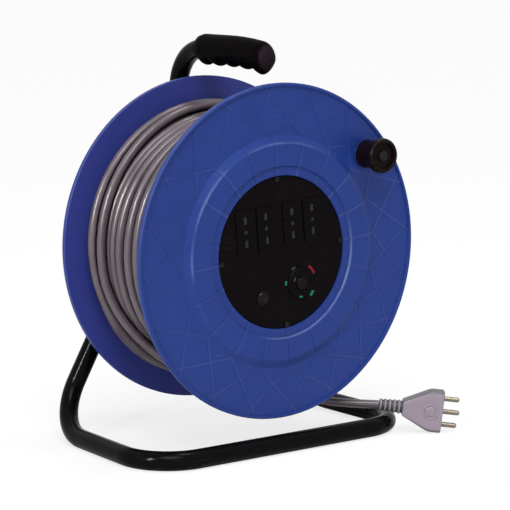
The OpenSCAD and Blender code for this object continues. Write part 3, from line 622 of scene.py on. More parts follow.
@dataclass(frozen=True)
class Metal(Finish):
    """Plated or drawn metal with lay lines, fine pits and a little tarnish."""

    tarnish: Colour = (120, 118, 112)
    roughness: float = 0.28

    def build(self) -> bpy.types.Material:
        """Metal whose lay is noise drawn out along the axle."""
        s = Shader(self.name)
        lay = s.noise(s.coordinates((900.0, 60.0, 900.0)), 1.0, 2.0)
        stain = s.span(s.clouds(160.0, 4.0), 0.5, 0.75)
        rough = s.plus(s.times(stain, 0.25), s.times(lay, 0.12))
        return s.done(
            Base_Color=s.blend(s.times(stain, 0.55), linear(self.colour), linear(self.tarnish)),
            Metallic=1.0,
            Roughness=s.plus(rough, self.roughness - 0.06),
            Normal=s.bump(lay, 0.00003, 0.4, s.bump(s.cells(1500.0), 0.00002, 0.3)),
        )


@dataclass(frozen=True)
class Sheath(Finish):
    """Round flexible cable's sheath: the cores' slow lay under it, scuffed and handled along its length."""

    lay: float = 0.085
    # Painted shade: the winding's lower layers darken between these two radii from the axle, above wound, and shut
    # sets where the attribute mark turns into painted shade.
    shaded_r: float = 0.1213
    unshaded_r: float = 0.1245
    wound: float = 0.08
    shut: tuple = (0.38, 0.72)

    def build(self) -> bpy.types.Material:
        """Reads the tube's UV map: round the cable, and along it in metres.

        The cores' lay is three waves round the cable, sin(2 pi (3 u + v / lay)), as a shallow bump. Painted shade
        darkens the winding's lower layers, nearer the axle than a set radius, and the skin where the attribute mark
        says that the neighbouring turns shut it in; there the sheath is also rougher and less glossy.
        """
        s = Shader(self.name)
        u, v, _ = s.add("ShaderNodeSeparateXYZ", {0: s.coordinates(uv=True)}).outputs
        twist = s.plus(s.times(u, 3.0), s.maths("DIVIDE", v, self.lay))
        lay = s.maths("SINE", s.times(twist, 2 * math.pi))
        worn = s.noise(s.coordinates((2.0, 14.0, 1.0), uv=True), 1.0, 5.0)
        colour = s.blend(s.span(worn, 0.3, 0.72), linear(self.colour, 0.82), linear(self.colour, 1.12))
        dirt = s.times(s.span(s.clouds(34.0, 4.0), 0.5, 0.78), 0.35)
        colour = s.blend(dirt, colour, linear(tuple(c * 0.72 for c in self.colour)))
        radius = s.axial()[3]
        # Painted shade in the lower layers and where the neighbouring turns shut the skin in, nearly black there.
        low = s.times(s.span(radius, self.unshaded_r, self.shaded_r), s.maths("GREATER_THAN", radius, self.wound))
        painted_shade = s.larger(low, s.span(s.mark(), *self.shut))
        return s.done(
            Base_Color=s.blend(s.times(painted_shade, 0.97), colour, linear(tuple(c * 0.12 for c in self.colour))),
            Roughness=s.plus(s.times(worn, 0.16), s.plus(s.times(painted_shade, 0.4), 0.2)),
            Normal=s.bump(lay, 0.00012, 0.45, s.bump(s.clouds(1500.0, 2.0), 0.00003, 0.5)),
            Specular_IOR_Level=s.times(s.maths("SUBTRACT", 1.0, painted_shade), 0.5),
        )


@dataclass(frozen=True)
class Lens(Finish):
    """Clear coloured lamp lens, with its moulded prisms as a bump."""

    def build(self) -> bpy.types.Material:
        """Part transmission, part colour, over a fine cell pattern."""
        s = Shader(self.name)
        cell = s.cells(520.0)
        return s.done(
            Base_Color=s.blend(s.span(cell, 0.0, 0.8), linear(self.colour, 1.25), linear(self.colour, 0.6)),
            Roughness=s.plus(s.times(cell, 0.1), 0.08),
            Normal=s.bump(cell, 0.0002, 0.5),
            Transmission_Weight=0.05,
            IOR=1.3,
            Specular_IOR_Level=0.3,
        )


BLUE = FlangePlastic("flange_blue_plastic", "blue_plastic", (26, 51, 121), scuff=0.16, gloss=0.2)
CORE_BLUE = MouldedPlastic("drum_blue_plastic", "blue_plastic", (26, 51, 119), roughness=0.44, gloss=0.2)
PANEL = MouldedPlastic("panel_black_plastic", "panel_black", (11, 7, 10), roughness=0.34, scuff=0.1, gloss=0.03)
BUTTON = MouldedPlastic("button_black_plastic", "button_black", (17, 14, 16), roughness=0.34, scuff=0.1, gloss=0.05)
SHUTTER = MouldedPlastic("shutter_grey_plastic", "panel_black", (42, 46, 46), roughness=0.5, scuff=0.2, gloss=0.08)
# The grip's lighter second colour is a painted highlight on the tip's end face.
GRIP = MouldedPlastic(
    "grip_black_plastic", "grip_plastic", (6, 4, 5), scuff=0.08, grain=900.0, grain_height=0.00005, gloss=0.01,
    painted_light_colour=(32, 24, 30),
)
CRANK = MouldedPlastic("knob_black_plastic", "knob_black", (17, 8, 9), roughness=0.34, scuff=0.12, gloss=0.05)
NYLON = MouldedPlastic("bush_natural_nylon", "bush_nylon", (214, 208, 190), roughness=0.46, scuff=0.2)
RUBBER = MouldedPlastic("gland_black_rubber", "gland_rubber", (26, 25, 26), roughness=0.62, scuff=0.2, gloss=0.3)
# The plug's darker second colour is painted shade on its narrow sides.
PLUG = MouldedPlastic(
    "plug_grey_plastic", "plug_grey", (134, 123, 134), roughness=0.48, clouds=60.0, depth=0.1, scuff=0.3,
    painted_light_colour=(92, 87, 93),
)
# The relief's dark second colour is painted shade in the grooves between its ribs.
RELIEF = MouldedPlastic(
    "relief_grey_plastic", "cable_grey", (118, 110, 118), roughness=0.5, clouds=70.0, scuff=0.3, painted_light_colour=(38, 34, 38)
)
TUBE = Enamel("tube_black_enamel", "black_enamel", (8, 7, 8))
ZINC = Metal("zinc_plated_steel", "zinc_steel", (196, 196, 190))
SCREW = Metal("blackened_screw_steel", "zinc_steel", (40, 39, 40), (22, 21, 21), 0.34)
BRASS = Metal("drawn_brass", "contact_brass", (206, 176, 108), (132, 104, 58), 0.24)
PIN = Metal("nickelled_pin_brass", "contact_brass", (124, 117, 104), (84, 77, 66), 0.36)
SHEATH = Sheath("cable_grey_sheath", "cable_grey", (91, 81, 87))
LENS = Lens("lamp_red_lens", "lamp_red", (15, 4, 6))
RED_MARK = MouldedPlastic("mark_red_ink", "panel_black", (122, 20, 34), roughness=0.5, scuff=0.5, gloss=0.1)
GREEN_MARK = MouldedPlastic("mark_green_ink", "panel_black", (24, 112, 72), roughness=0.5, scuff=0.5, gloss=0.1)
GREY_MARK = MouldedPlastic("mark_grey_ink", "panel_black", (58, 62, 60), roughness=0.5, scuff=0.5, gloss=0.1)


# ---- Camera, light and floor ----


@dataclass
class Studio:
    """Camera at the reel's right front, a plain pale floor and soft light from above and the left."""

    azimuth: float = -35.86
    elevation: float = 8.525
    lens: float = 151.2
    across: float = -0.091
    upward: float = 0.067
    away: float = 12.99
    reach: float = 160.0
    ambient: float = 0.42
    lift: float = 0.76
    aim: tuple = (0.0, 0.0, 0.19)
    floor_r: float = 30.0
    lamps: tuple = (
        ("soft_sun", "SUN", (-0.9, -1.6, 2.6), 1.8, math.radians(30.0), False),
        ("left_softbox", "AREA", (-2.6, -0.85, 0.9), 24.0, 0.2, False),
        ("top_softbox", "AREA", (0.5, -0.3, 2.4), 12.0, 0.5, False),
        ("left_glint", "AREA", (-2.5, -0.9, 1.5), 70.0, 0.36, True),
    )

    def camera(self) -> None:
        """Stands the camera off along its own back direction and shifts it across and up, in flange radii."""
        a, e = math.radians(self.azimuth), math.radians(self.elevation)
        back = np.array([math.sin(a) * math.cos(e), -math.cos(a) * math.cos(e), math.sin(e)])
        right = unit(np.cross(UP, back))
        stand = place((self.away * back - self.across * right - self.upward * np.cross(back, right)) * self.reach)
        data = bpy.data.cameras.new("reel_camera")
        data.sensor_width = 36.0
        data.lens = self.lens
        data.clip_start, data.clip_end = 0.05, 60.0
        camera = linked("reel_camera", data)
        camera.matrix_world = stood(back, UP, stand)
        bpy.context.scene.camera = camera

    def lamp(self, name: str, kind: str, at: tuple, power: float, size: float, glint: bool) -> None:
        """Adds one lamp that shines at the reel's middle.

        Args:
            name: the lamp's name.
            kind: SUN or AREA.
            at: where it stands, in metres.
            power: its strength.
            size: a sun's angle in radians, or an area's side in metres.
            glint: whether it shows in reflections only.
        """
        data = bpy.data.lights.new(name, kind)
        data.energy = power
        if kind == "SUN":
            data.angle = size
        else:
            data.shape, data.size = "SQUARE", size
        lamp = linked(name, data)
        lamp.visible_diffuse = not glint
        lamp.matrix_world = stood(unit(np.array(at) - self.aim), (0.0, 1.0, 0.2), at)

    def world(self) -> None:
        """White to the camera and in reflections, and an even dimmer light on everything else."""
        world = bpy.data.worlds.new("studio_world")
        bpy.context.scene.world = world
        world.use_nodes = True
        world.node_tree.nodes.clear()
        s = Nodes(world.node_tree)
        path = s.add("ShaderNodeLightPath").outputs
        seen = path["Is Camera Ray"]
        for ray in ("Is Glossy Ray", "Is Transmission Ray"):
            seen = s.larger(seen, path[ray])
        dim, white = (
            s.add("ShaderNodeBackground", {"Color": (1.0, 1.0, 1.0, 1.0), "Strength": strength}).outputs[0]
            for strength in (self.ambient, 1.0)
        )
        mix = s.add("ShaderNodeMixShader", {0: seen, 1: dim, 2: white}).outputs[0]
        s.add("ShaderNodeOutputWorld", {"Surface": mix})

    def floor(self) -> None:
        """A pale floor disc at height 0, whose rings lie closer near the reel; to the camera it is part white."""
        count, sides = 24, 64
        radii = np.linspace(0.02, 1.0, count) ** 2 * self.floor_r
        a = around(sides)
        ring = np.stack([np.cos(a), np.sin(a), np.zeros(sides)], -1)
        points = (radii[:, None, None] * ring).reshape(-1, 3)
        mesh = bpy.data.meshes.new("floor")
        mesh.from_pydata(points.tolist(), [], quad_grid(count, sides).tolist() + [list(range(sides))])
        floor = linked("floor", mesh)
        s = Shader("floor_paper")
        tone = s.blend(s.clouds(3.0, 2.0), (0.95, 0.95, 0.95, 1.0), (0.97, 0.97, 0.97, 1.0))
        paper = s.done(Base_Color=tone, Roughness=0.9, Specular_IOR_Level=0.1)
        lift = s.times(s.add("ShaderNodeLightPath").outputs["Is Camera Ray"], self.lift)
        glow = s.add("ShaderNodeEmission").outputs[0]
        mix = s.add("ShaderNodeMixShader", {0: lift, 1: s.surface.outputs[0], 2: glow}).outputs[0]
        s.feed(s.tree.nodes["Material Output"].inputs["Surface"], mix)
        mesh.materials.append(paper)

    def build(self) -> None:
        """Sets the camera, the lamps, the world and the floor."""
        self.camera()
        self.world()
        self.floor()
        for name, kind, at, power, size, glint in self.lamps:
            self.lamp(name, kind, at, power, size, glint)
        bpy.context.scene.view_settings.view_transform = "Standard"
        LOG.info("studio: camera, %d lamps, white surround and floor", len(self.lamps))


# ---- Cable on the drum ----


@dataclass
class Winding:
    """The cable wound on the drum in one length: four full layers, an open fifth one and the last upper turns."""

    cable_r: float = CABLE_R
    first_r: float = 89.35
    layer_step: float = 8.72
    inner_layers: int = 4
    layer_turns: float = 13.3
    climb: float = 0.2
    end_y: float = 57.65
    turn_r: float = 124.5
    layer_rise: float = 9.1
    turn_pitch: float = 10.35
    low_turns: float = 11.0
    climb_turns: float = 0.25
    upper_turns: float = 1.8833
    upper_pitch: float = 8.8
    cross_turns: float = 0.2
    leave_y: float = -8.0
    leave_angle: float = 255.0
    rings: int = 60
    sides: int = 14
    bulge: float = 4.8
    bulge_at: float = 160.0
    bulge_width: float = 50.0
    pairing: float = 0.68
    end_slope: float = 0.53
    loose_in: float = 0.1
    loose_end: float = 1.05
    loose_out: float = 0.2
    pair_start: float = 0.389
    gaps_at: float = 205.0
    gaps_lean: float = 0.3
    shifts: tuple = (0.0, -0.4, -0.7, -1.3, -2.0, -3.4, 0.7, 5.2, 5.5, 3.9, 2.2, 0.0)
    shift_lag: float = 0.125
    sways: tuple = ((0.06, 1.7, 0.6), (0.05, 2.9, 1.9))
    settle: float = 0.5
    period: float = field(init=False)
    start: float = field(init=False)
    climbed: float = field(init=False)
    crossing: float = field(init=False)
    all_turns: float = field(init=False)

    def __post_init__(self) -> None:
        """Works out the turns at which the stretches begin, counted from the fifth layer's start."""
        self.period = self.layer_turns + self.climb
        self.start = -self.inner_layers * self.period
        self.climbed = self.low_turns + self.climb_turns
        self.crossing = self.climbed + self.upper_turns
        self.all_turns = self.crossing + self.cross_turns

    def radius(self, u: np.ndarray) -> np.ndarray:
        """Distance from the axle after u turns of the fifth layer; before it u is below 0.

        Each full layer is level and climbs by one step over its last fifth of a turn. The upper turns rise once
        more, and lie looser at the drum's upper left.

        Args:
            u: turns.

        Returns:
            Radii.
        """
        r = np.full_like(u, self.first_r)
        for k in range(self.inner_layers):
            last = k == self.inner_layers - 1
            rise = self.turn_r - self.first_r - k * self.layer_step if last else self.layer_step
            r = r + rise * smooth((u - self.start - k * self.period - self.layer_turns) / self.climb)
        r = r + self.layer_rise * smooth((u - self.low_turns) / self.climb_turns)
        v = u - self.climbed
        off = (np.degrees(self.angle(u)) - self.bulge_at + 180) % 360 - 180
        loose = np.exp(-((off / self.bulge_width) ** 2))
        return r + self.bulge * loose * smooth(v / self.loose_in) * smooth((self.loose_end - v) / self.loose_out)

    def across(self, u: np.ndarray) -> np.ndarray:
        """Place along the axle after u turns: to and fro over the full layers, then the open layer and the top.

        The open layer's turns lie in loose pairs, y + pairing sin(pi (u + pair_start)), and at the drum's left each
        is pushed along by its own shift, which opens gaps. The last turn crosses to the middle in an S,
        w^2 (3 - 2 w) with a slope left at its end.

        Args:
            u: turns.

        Returns:
            Distances from the drum's middle, +Y to the back.
        """
        knots, places = [], []
        for k in range(self.inner_layers):
            side, turn = -1 if k % 2 == 0 else 1, self.start + k * self.period
            knots += [turn, turn + self.layer_turns]
            places += [side * self.end_y, -side * self.end_y]
        top = self.low_turns * self.turn_pitch - self.end_y
        cross = top - self.upper_turns * self.upper_pitch
        knots += [0.0, self.low_turns, self.climbed, self.crossing, self.all_turns]
        places += [-self.end_y, top, top, cross, self.leave_y]
        w = np.clip((u - self.crossing) / self.cross_turns, 0, 1)
        bend = w * w * (3 - 2 * w) + self.end_slope * w * w * (w - 1) - w
        y = np.interp(u, knots, places) + (self.leave_y - cross) * bend
        a = 2 * math.pi * u
        left = smooth(np.cos(self.angle(u) - math.radians(self.gaps_at)) + self.gaps_lean)
        shift = left * np.interp(u - self.shift_lag, np.arange(len(self.shifts)), self.shifts)
        sway = shift + self.pairing * (1 - left) * np.sin(a / 2 + self.pair_start * math.pi)
        for size, rate, begin in self.sways:
            sway = sway + size * np.sin(rate * a + begin)
        return y + sway * smooth(u / self.settle) * smooth((self.low_turns - u) / self.settle)

    def angle(self, u: np.ndarray) -> np.ndarray:
        """Angle about the axle, in the drum's own axes, in radians."""
        return np.radians(self.leave_angle + 360 * (u - self.all_turns))

    def path(self) -> tuple[np.ndarray, np.ndarray, np.ndarray]:
        """The cable's whole line in the drum's axes, to where the free cord starts.

        Returns:
            The points, and the outward direction and the turns at each.
        """
        u = np.linspace(self.start, self.all_turns, int((self.all_turns - self.start) * self.rings))
        a = self.angle(u)
        out = np.stack([np.cos(a), np.zeros_like(a), np.sin(a)], -1)
        path = self.radius(u)[:, None] * out + self.across(u)[:, None] * BACK
        end = spun(np.array([CORD_START]), -DRUM_TURN)
        return np.vstack([path, end]), np.vstack([out, out[-1:]]), np.append(u, u[-1])

    def nook(self, u: np.ndarray, out: np.ndarray, skin: np.ndarray) -> np.ndarray:
        """How far the other turns at the same angle shut each point of the skin in, from 0 to 1, as painted shade.

        It is the largest of (cable_r / distance) cos(slant), the share of a half circle that a round bar takes up.

        Args:
            u: turns at each ring.
            out: outward direction at each ring.
            skin: rings by points by 3, each point's place from the ring's middle, over cable_r.

        Returns:
            Rings by points.
        """
        facing = np.stack([np.einsum("ijk,ik->ij", skin, out), skin[..., 1]], -1)
        here = np.stack([self.radius(u), self.across(u)], -1)[:, None]
        shut = np.zeros(skin.shape[:2])
        whole = int(u[-1] - u[0]) + 1
        for k in range(-whole, whole + 1):
            there = u + k
            there_at = np.stack([self.radius(there), self.across(there)], -1)[:, None]
            gap = there_at - here - self.cable_r * facing
            far = np.linalg.norm(gap, axis=-1) + 1e-6
            share = np.clip((gap * facing).sum(-1) / far, 0, 1) * np.clip(self.cable_r / far, 0, 1)
            shut = np.maximum(shut, share * ((there >= u[0]) & (there <= u[-1]) & (k != 0))[:, None])
        return shut

    def build(self) -> None:
        """Makes the wound cable in place of both CAD solids."""
        path, out, u = self.path()
        run = lengths(path) / 1000
        rings = swept(path, out, self.cable_r, self.sides)
        # How far each point is shut in, kept as the attribute mark: painted shade on the sheath.
        shut = self.nook(u, out, (rings - path[:, None]) / self.cable_r)
        piece = Shell().loft(spun(rings), along=run, mark=shut).piece("cable_wound", SHEATH, Body.DRUM)
        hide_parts("cable_core", "cable_winding")
        LOG.info("wound cable: %.1f m in %d rings", run[-1], len(path))


# ---- Free cord and plug ----


@dataclass
class PlugLead:
    """The cable's free end: a short run off the drum, ribbed strain relief, flat plug and its three pins."""

    cable_r: float = CABLE_R
    route: tuple = (
        CORD_START,
        (5.6, -12.6, -140.6),
        (34.0, -18.0, -148.5),
        (64.0, -26.5, -156.0),
        (93.0, -43.0, -161.5),
        (121.5, -65.8, -163.0),
    )
    nose: tuple = (172.0, -102.0, -170.0)
    relief_len: float = 23.0
    relief_r: float = 5.65
    relief_flare: float = 0.9
    rib: float = 0.45
    rib_steep: float = 2.6
    rib_start: float = 0.02
    plug_len: float = 40.0
    plug_w: float = 42.0
    plug_t: float = 17.0
    tail_w: float = 15.0
    head_len: float = 13.0
    edge: float = 1.4
    power: int = 7
    shoulder: tuple = (0.3, 1.8)
    grooves: tuple = (0.665, 0.035)
    seam: tuple = (0.012, 0.05)
    ring_in: float = 12.0
    ring: tuple = (7.2, 1.0, 0.8)
    dome: tuple = ((5.0, -0.6), (5.0, 0.2), (4.6, 0.6), (3.4, 0.75), (0.2, 0.8))
    collar: tuple = ((2.56, -0.6), (4.0, -0.6), (4.0, 0.25), (3.7, 0.5), (2.9, 0.5), (2.56, 0.3))
    pin_pitch: float = 13.0
    ribs: int = 5
    cord_path: np.ndarray = field(init=False)
    cord_length: float = field(init=False)

    def frame(self) -> tuple[np.ndarray, np.ndarray, np.ndarray, np.ndarray]:
        """The plug's origin, direction, face normal and width direction."""
        tail = np.array(self.route[-1])
        along = unit(np.array(self.nose) - tail)
        face = unit(np.cross(UP, along))
        return tail + 0.3 * along, along, face, np.cross(along, face)

    def cord(self) -> bpy.types.Object:
        """The free run, a round tube on the smooth curve through the route's points."""
        path = spline(np.array(self.route), 12)
        rings = swept(path, UP, self.cable_r, 28)
        run = lengths(path) / 1000
        piece = Shell().loft(rings, along=run).piece("cord_free", SHEATH, Body.STAND)
        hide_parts("cord_run")
        self.cord_path, self.cord_length = place(path), float(run[-1])
        return piece

    def relief(self) -> bpy.types.Object:
        """A sleeve that widens towards the plug, with a flat-topped wave of ribs in its radius."""
        origin, along, _, _ = self.frame()
        t = np.linspace(0, 1, 121)
        wave = np.clip(np.sin(2 * math.pi * (self.ribs * t - self.rib_start)) * self.rib_steep, -1, 1)
        radius = self.relief_r + self.relief_flare * t + self.rib * wave
        radius = radius * np.where(t < 0.02, 0.86 + 7 * t, 1.0)
        profile = np.stack([radius, t * self.relief_len], -1)
        # Painted shade: the grooves between the ribs take the dark colour.
        grooves = np.clip(0.5 - wave, 0, 1)[:, None]
        shell = Shell().loft(turned(profile, origin, along, 56), mark=grooves)
        piece = shell.piece("relief_ribbed", RELIEF, Body.STAND, 50)
        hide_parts("cord_relief")
        return piece

    def outline(self, x: np.ndarray) -> tuple[np.ndarray, np.ndarray]:
        """Half width and half thickness of the plug at x from its tail.

        The width goes straight from the tail to the head and stays there, with both corners eased; the thickness is
        even but for a quarter round at each end.

        Args:
            x: distances from the tail.

        Returns:
            Half widths and half thicknesses.
        """
        taper = self.plug_len - self.head_len
        half = np.interp(x, [0, taper, self.plug_len], [self.tail_w / 2, self.plug_w / 2, self.plug_w / 2])
        depth, width = self.shoulder
        near = np.exp(-(((x - taper) / width) ** 2)) * depth
        ends = np.minimum(x, self.plug_len - x)
        corner = 1 - np.sqrt(np.clip(1 - (1 - np.clip(ends / self.edge, 0, 1)) ** 2, 0, 1))
        return half - near - self.edge * corner, self.plug_t / 2 - self.edge * corner

    def plug(self) -> bpy.types.Object:
        """The flat plug: superellipse rings with painted shade on both sides, a raised ring and a dome on each face.
        """
        origin, along, face, wide = self.frame()
        ends = self.edge * (1 - np.cos(np.linspace(0, math.pi / 2, 9)))
        middle = np.linspace(2 * self.edge, self.plug_len - 2 * self.edge, 44)
        x = np.concatenate([ends, middle, self.plug_len - ends[::-1]])
        half, thick = self.outline(x)
        a = around(120)
        c, s = np.cos(a), np.sin(a)
        blunt = (np.abs(c) ** self.power + np.abs(s) ** self.power) ** (-1 / self.power)
        # Painted shade on the plug's narrow sides.
        side = smooth((np.abs(c) - self.grooves[0]) / self.grooves[1])
        seam = 1 - self.seam[0] * np.exp(-((s * blunt / self.seam[1]) ** 2)) * (np.abs(c) > 0.5)
        y = (thick[:, None] * (s * blunt))[..., None] * face
        w = (half[:, None] * (c * blunt * seam))[..., None] * wide
        start = origin + self.relief_len * along
        shell = Shell().loft(start + x[:, None, None] * along + y + w, mark=side)
        b = around(14)
        ring_r, half, high = self.ring
        lip = np.stack([ring_r + half * np.cos(b), high * np.sin(b)], -1)
        for sign in (-1, 1):
            at = start + (self.plug_len - self.ring_in) * along + sign * (self.plug_t / 2) * face
            shell.loft(turned(lip, at, sign * face, 64), closed=True)
            shell.loft(turned(self.dome, at, sign * face, 48))
        piece = shell.piece("plug_moulded", PLUG, Body.STAND, 40)
        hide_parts("plug_body")
        return piece

    def collars(self) -> bpy.types.Object:
        """A thin moulded collar round each pin's foot."""
        origin, along, _, wide = self.frame()
        shell = Shell()
        for k in (-1, 0, 1):
            at = origin + (self.relief_len + self.plug_len) * along + self.pin_pitch * k * wide
            shell.loft(turned(self.collar, at, along, 40), closed=True)
        return shell.piece("pin_collars", PLUG, Body.STAND, 40)

    def build(self) -> None:
        cord = self.cord()
        relief, plug, collars = self.relief(), self.plug(), self.collars()
        dress({"plug_pins": PIN})
        LOG.info("free cord: %.3f m", self.cord_length)


# ---- Nodes that keep their CAD shape ----


def dress(finishes: dict[str, Finish]) -> None:
    """Gives CAD nodes their materials, without a change to their meshes.

    Args:
        finishes: the finish of each node, by the node's name.
    """
    for name, finish in finishes.items():
        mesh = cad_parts[name].data
        material = finish.material()
        if not mesh.materials:
            mesh.materials.append(material)
        for k in range(len(mesh.materials)):
            mesh.materials[k] = material
        LOG.info("%s keeps its shape, in %s", name, finish.name)


# ---- Drum ----


class Drum:
    """Both flanges, the core between them, and the bolts that hold them together."""

    def build(self) -> None:
        """Dresses the drum's parts."""
        dress({"front_flange": BLUE, "rear_flange": BLUE, "drum_core": CORE_BLUE, "drum_bolts": ZINC})


# ---- Socket side ----


@dataclass
class SocketSide:
    """The black panel in the drum's face, with four sockets, the cut-out and the lamp."""

    socket_x: tuple = (-39.1, -15.3, 15.3, 39.1)
    socket_z: float = 25.5
    hole_z: tuple = (-13.0, -9.5, 0.0, 9.5, 13.0)
    shutter: tuple = ((2.5, -1.6), (2.5, -0.2), (2.1, 0.0), (1.2, 0.15), (0.3, 0.2))
    shutter_y: float = -67.6
    ink: tuple = (0.02, 0.02, -0.15, -0.15)
    panel_y: float = -67.5
    cutout: tuple = (19.4, -33.3)
    bezel_y: float = -69.5

    def shutters(self) -> None:
        """A pale shutter set back in each contact hole, a low dome 0.9 mm below the socket's face."""
        shell = Shell()
        for x in self.socket_x:
            for z in self.hole_z:
                at = np.array([x, self.shutter_y, self.socket_z + z])
                shell.loft(spun(turned(self.shutter, at, -BACK, 24)))
        shell.piece("socket_shutters", SHUTTER, Body.DRUM)

    def arc(self, shell: Shell, y: float, radii: tuple, angles: tuple) -> None:
        """Adds a raised arc of ink round the cut-out: a flat band 0.15 mm thick.

        Args:
            shell: what it is added to.
            y: the surface it lies on.
            radii: inner and outer radius.
            angles: first and last angle, in degrees from X towards Z.
        """
        a = np.radians(np.linspace(*angles, 16))[:, None]
        inner, outer = radii
        r = np.array([[inner, outer, outer, inner]])
        x, z = self.cutout
        shell.loft(spun(np.stack([x + r * np.cos(a), y + np.array([self.ink]) + 0 * a, z + r * np.sin(a)], -1)))

    def marks(self) -> None:
        """Plain coloured setting marks round the cut-out, with no words or figures."""
        panel, bezel = self.panel_y, self.bezel_y
        green = [
            (panel, (16.4, 19.4), (-52.0, -34.0)),
            (bezel, (12.2, 14.0), (-104.0, -88.0)),
            (panel, (15.6, 18.0), (164.0, 178.0)),
        ]
        grey = [(panel, (16.0, 17.6), (106.0, 122.0)), (bezel, (8.0, 9.6), (134.0, 160.0))]
        for name, ink, arcs in (
            ("mark_red", RED_MARK, [(panel, (17.2, 19.6), (20.0, 52.0))]),
            ("marks_green", GREEN_MARK, green),
            ("marks_grey", GREY_MARK, grey),
        ):
            shell = Shell()
            for arc in arcs:
                self.arc(shell, *arc)
            shell.piece(name, ink, Body.DRUM)

    def build(self) -> None:
        """Dresses the panel's parts and adds the shutters and marks."""
        sockets = {f"socket_{k}": PANEL for k in (1, 2, 3, 4)}
        dress({"socket_panel": PANEL, **sockets, "cutout_body": PANEL, "reset_button": BUTTON})
        dress({"pilot_lamp": LENS, "panel_screws": SCREW, "contact_bars": BRASS})
        dress({"terminal_block": NYLON, "tail_gland": RUBBER, "cable_tail": RELIEF})
        self.shutters()
        self.marks()


# ---- Crank knob ----


class Crank:
    """The knob that turns the drum, on its pin."""

    def build(self) -> None:
        """Dresses the knob and its pin."""
        dress({"knob": CRANK, "knob_pin": SCREW})


# ---- Stand ----


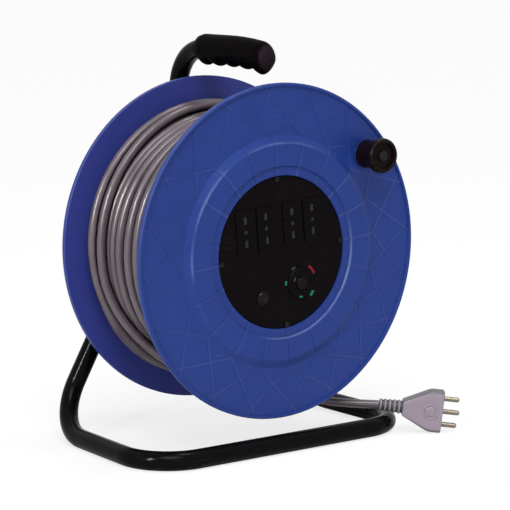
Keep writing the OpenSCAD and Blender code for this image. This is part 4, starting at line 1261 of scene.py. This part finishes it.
@dataclass
class Stand:
    """The bent base tube with its two legs, the upright and carry bar, the hub plate and the hand grip."""

    shift: float = -3.2
    carry_y: float = 100.6
    base_r: float = 9.2
    carry_r: float = 9.4
    leg_angle: float = 29.0
    leg_top: float = 84.5
    grip_back: float = 59.0
    grip_len: float = 114.0
    first_notch: float = 20.2
    half_w: float = 12.0
    top: float = 15.4
    notch: float = 10.3
    pitch: float = 22.3
    finger: float = 4.6
    bulb: float = 5.9
    bulb_round: float = 14.5
    roundness: float = 0.75
    bump_power: int = 6
    tip_len: float = 4.0
    # Where the painted highlight on the tip's end face fades out, measured from the tip.
    tip_highlight: tuple = (8.0, 3.0)
    tip_least: float = 0.12
    bar_h: float = 186.0
    droop_r: float = 400.0
    droop_start: float = 11.0
    lip: float = 1.2
    lip_len: float = 7.0
    ripple: float = 2.0
    swell: float = 0.1
    bead_sides: int = 10
    leg_bead: float = 1.25
    plate_bead: float = 1.5
    plate_welds: tuple = ((56.0, 76.0), (100.0, 118.0))
    foot_weld: tuple = (24.0, 14.0)
    plate_y: float = 92.1
    plate_half: float = 4.6

    def bar_z(self, y: np.ndarray) -> np.ndarray:
        """Height of the carry bar's middle: level at the back, then an arc that droops forwards."""
        fall = np.clip(self.droop_start - y, 0, None)
        return self.bar_h - self.droop_r + np.sqrt(self.droop_r**2 - fall**2)

    def bump(self, y: np.ndarray) -> np.ndarray:
        """Depth of the finger bumps under the grip: rounded waves between sharp notches, and a larger end bulb."""
        first = self.grip_back - self.first_notch
        last = first - 3 * self.pitch
        tip = self.grip_back - self.grip_len
        waves = self.finger * np.abs(np.sin(math.pi * (first - y) / self.pitch)) ** self.roundness
        lead = self.finger * np.sin(math.pi * np.clip((self.grip_back - y) / self.first_notch, 0, 1))
        end = self.bulb * np.abs(np.sin(math.pi * (last - y) / (last - tip)))
        return np.where(y < last, end, np.where(y > first, lead, waves))

    def grip(self) -> None:
        """The hand grip: oval rings along the bar, deeper on the underside by the bumps, rounded at the tip.

        Ring y is (k w cos a, y, bar(y) + k h(a) sin a), where h is the top height above the bar and the notch depth
        plus bump cos(a / 2 + 45)^bump_power below it, and k closes the tip as a quarter ellipse.
        """
        tip = self.grip_back - self.grip_len
        fine = np.linspace(self.grip_back, tip + self.tip_len, 260)
        bend = np.linspace(math.acos(1 - self.tip_len / self.bulb_round), 0.0, 24)
        y = np.concatenate([fine, (tip + self.bulb_round * (1 - np.cos(bend)))[1:]])[:, None]
        a = around(88)[None, :]
        into = np.clip((tip + self.bulb_round - y) / self.bulb_round, 0, 1)
        lip = smooth((self.grip_back - y) / self.lip_len)
        k = np.maximum(self.tip_least, np.sqrt(1 - into**2)) * (1 - self.lip / self.half_w * (1 - lip))
        below = self.notch + np.cos(a / 2 + math.pi / 4) ** self.bump_power * self.bump(y)
        tall = np.where(np.sin(a) > 0, self.top, below)
        x = self.shift + k * self.half_w * np.cos(a)
        rings = np.stack([x, y + 0 * a, self.bar_z(y) + k * tall * np.sin(a)], -1)
        # Painted highlight on the tip's end face.
        face = smooth((tip + self.tip_highlight[0] - y) / self.tip_highlight[1])
        piece = Shell().loft(rings, mark=face).piece("grip_moulded", GRIP, Body.STAND, 55)
        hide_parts("grip")

    def weld(self, path: np.ndarray, radius: float, closed: bool) -> np.ndarray:
        """Rings of a weld bead with its ripples: a tube whose radius swells at each ripple.

        Args:
            path: its line.
            radius: its middle radius.
            closed: whether it runs round and meets itself.

        Returns:
            The rings.
        """
        run = lengths(path)
        swell = radius * (1 + self.swell * np.sin(2 * math.pi * run / self.ripple))
        if not closed:
            swell = swell * np.sqrt(np.clip(np.minimum(run, run[-1] - run) / radius, 0.05, 1))
            return swept(path, BACK, swell, self.bead_sides)
        wrapped = np.vstack([path[-1:], path, path[:1]])
        side = unit(wrapped[2:] - wrapped[:-2])
        out = unit(np.cross(side, [0.3, 0.2, 1.0]))
        other = np.cross(side, out)
        b = around(self.bead_sides)[None, :, None]
        return path[:, None] + swell[:, None, None] * (np.cos(b) * out[:, None] + np.sin(b) * other[:, None])

    def welds(self) -> None:
        """Beads where each leg's end meets the upright, and along the hub plate's edges on the tubes.

        The leg's line meets the upright where x = sqrt(R^2 - y^2), with y = r sin f round the leg, so the distance
        down the leg is (x - r cos f cos g) / sin g for the leg's lean g.
        """
        shell = Shell()
        g = math.radians(self.leg_angle)
        f = around(150)
        y = self.base_r * np.sin(f)
        x = np.sqrt(self.carry_r**2 - y**2)
        down = (x - self.base_r * np.cos(f) * math.cos(g)) / math.sin(g)
        z = self.leg_top - down * math.cos(g) + self.base_r * np.cos(f) * math.sin(g)
        for side in (-1, 1):
            path = np.stack([self.shift + side * x, self.carry_y + y, z], -1)
            shell.loft(self.weld(path, self.leg_bead, True), closed=True)
        t = np.linspace(0, 1, 40)[:, None]
        leg = np.array([math.sin(g), 0.0, -math.cos(g)])
        top = np.array([self.shift, self.plate_y, self.leg_top])
        for lean in (-1, 1):
            along = leg * np.array([lean, 1.0, 1.0])
            across = np.cross(along, BACK)
            for off in (-self.plate_half, self.plate_half):
                for near, far in self.plate_welds:
                    line = top + across * off + along * (near + (far - near) * t)
                    shell.loft(self.weld(line, self.plate_bead, False))
        for off in (-self.plate_half, self.plate_half):
            start = np.array([self.shift + off, self.plate_y, self.foot_weld[0]])
            shell.loft(self.weld(start + self.foot_weld[1] * UP * t, self.plate_bead, False))
        shell.piece("weld_beads", TUBE, Body.STAND, 60)

    def build(self) -> None:
        """Dresses the tubes and the hub's parts, and adds the grip and the welds."""
        dress({"base_tube": TUBE, "carry_tube": TUBE, "hub_plate": TUBE})
        metal = ("axle", "axle_nut", "axle_washer", "retaining_nut", "retaining_washer", "thrust_washer")
        dress({name: ZINC for name in metal} | {"rear_bush": NYLON, "front_bush": NYLON})
        self.grip()
        self.welds()


def main() -> None:
    """Builds the studio, the cable and then every sub-assembly."""
    logging.basicConfig(level=logging.INFO, format="%(name)s %(message)s")
    Studio().build()
    Winding().build()
    PlugLead().build()
    for part in (Drum(), SocketSide(), Crank(), Stand()):
        part.build()
        LOG.info("%s built", type(part).__name__)
    bpy.context.view_layer.update()


if __name__ == "__main__":
    main()
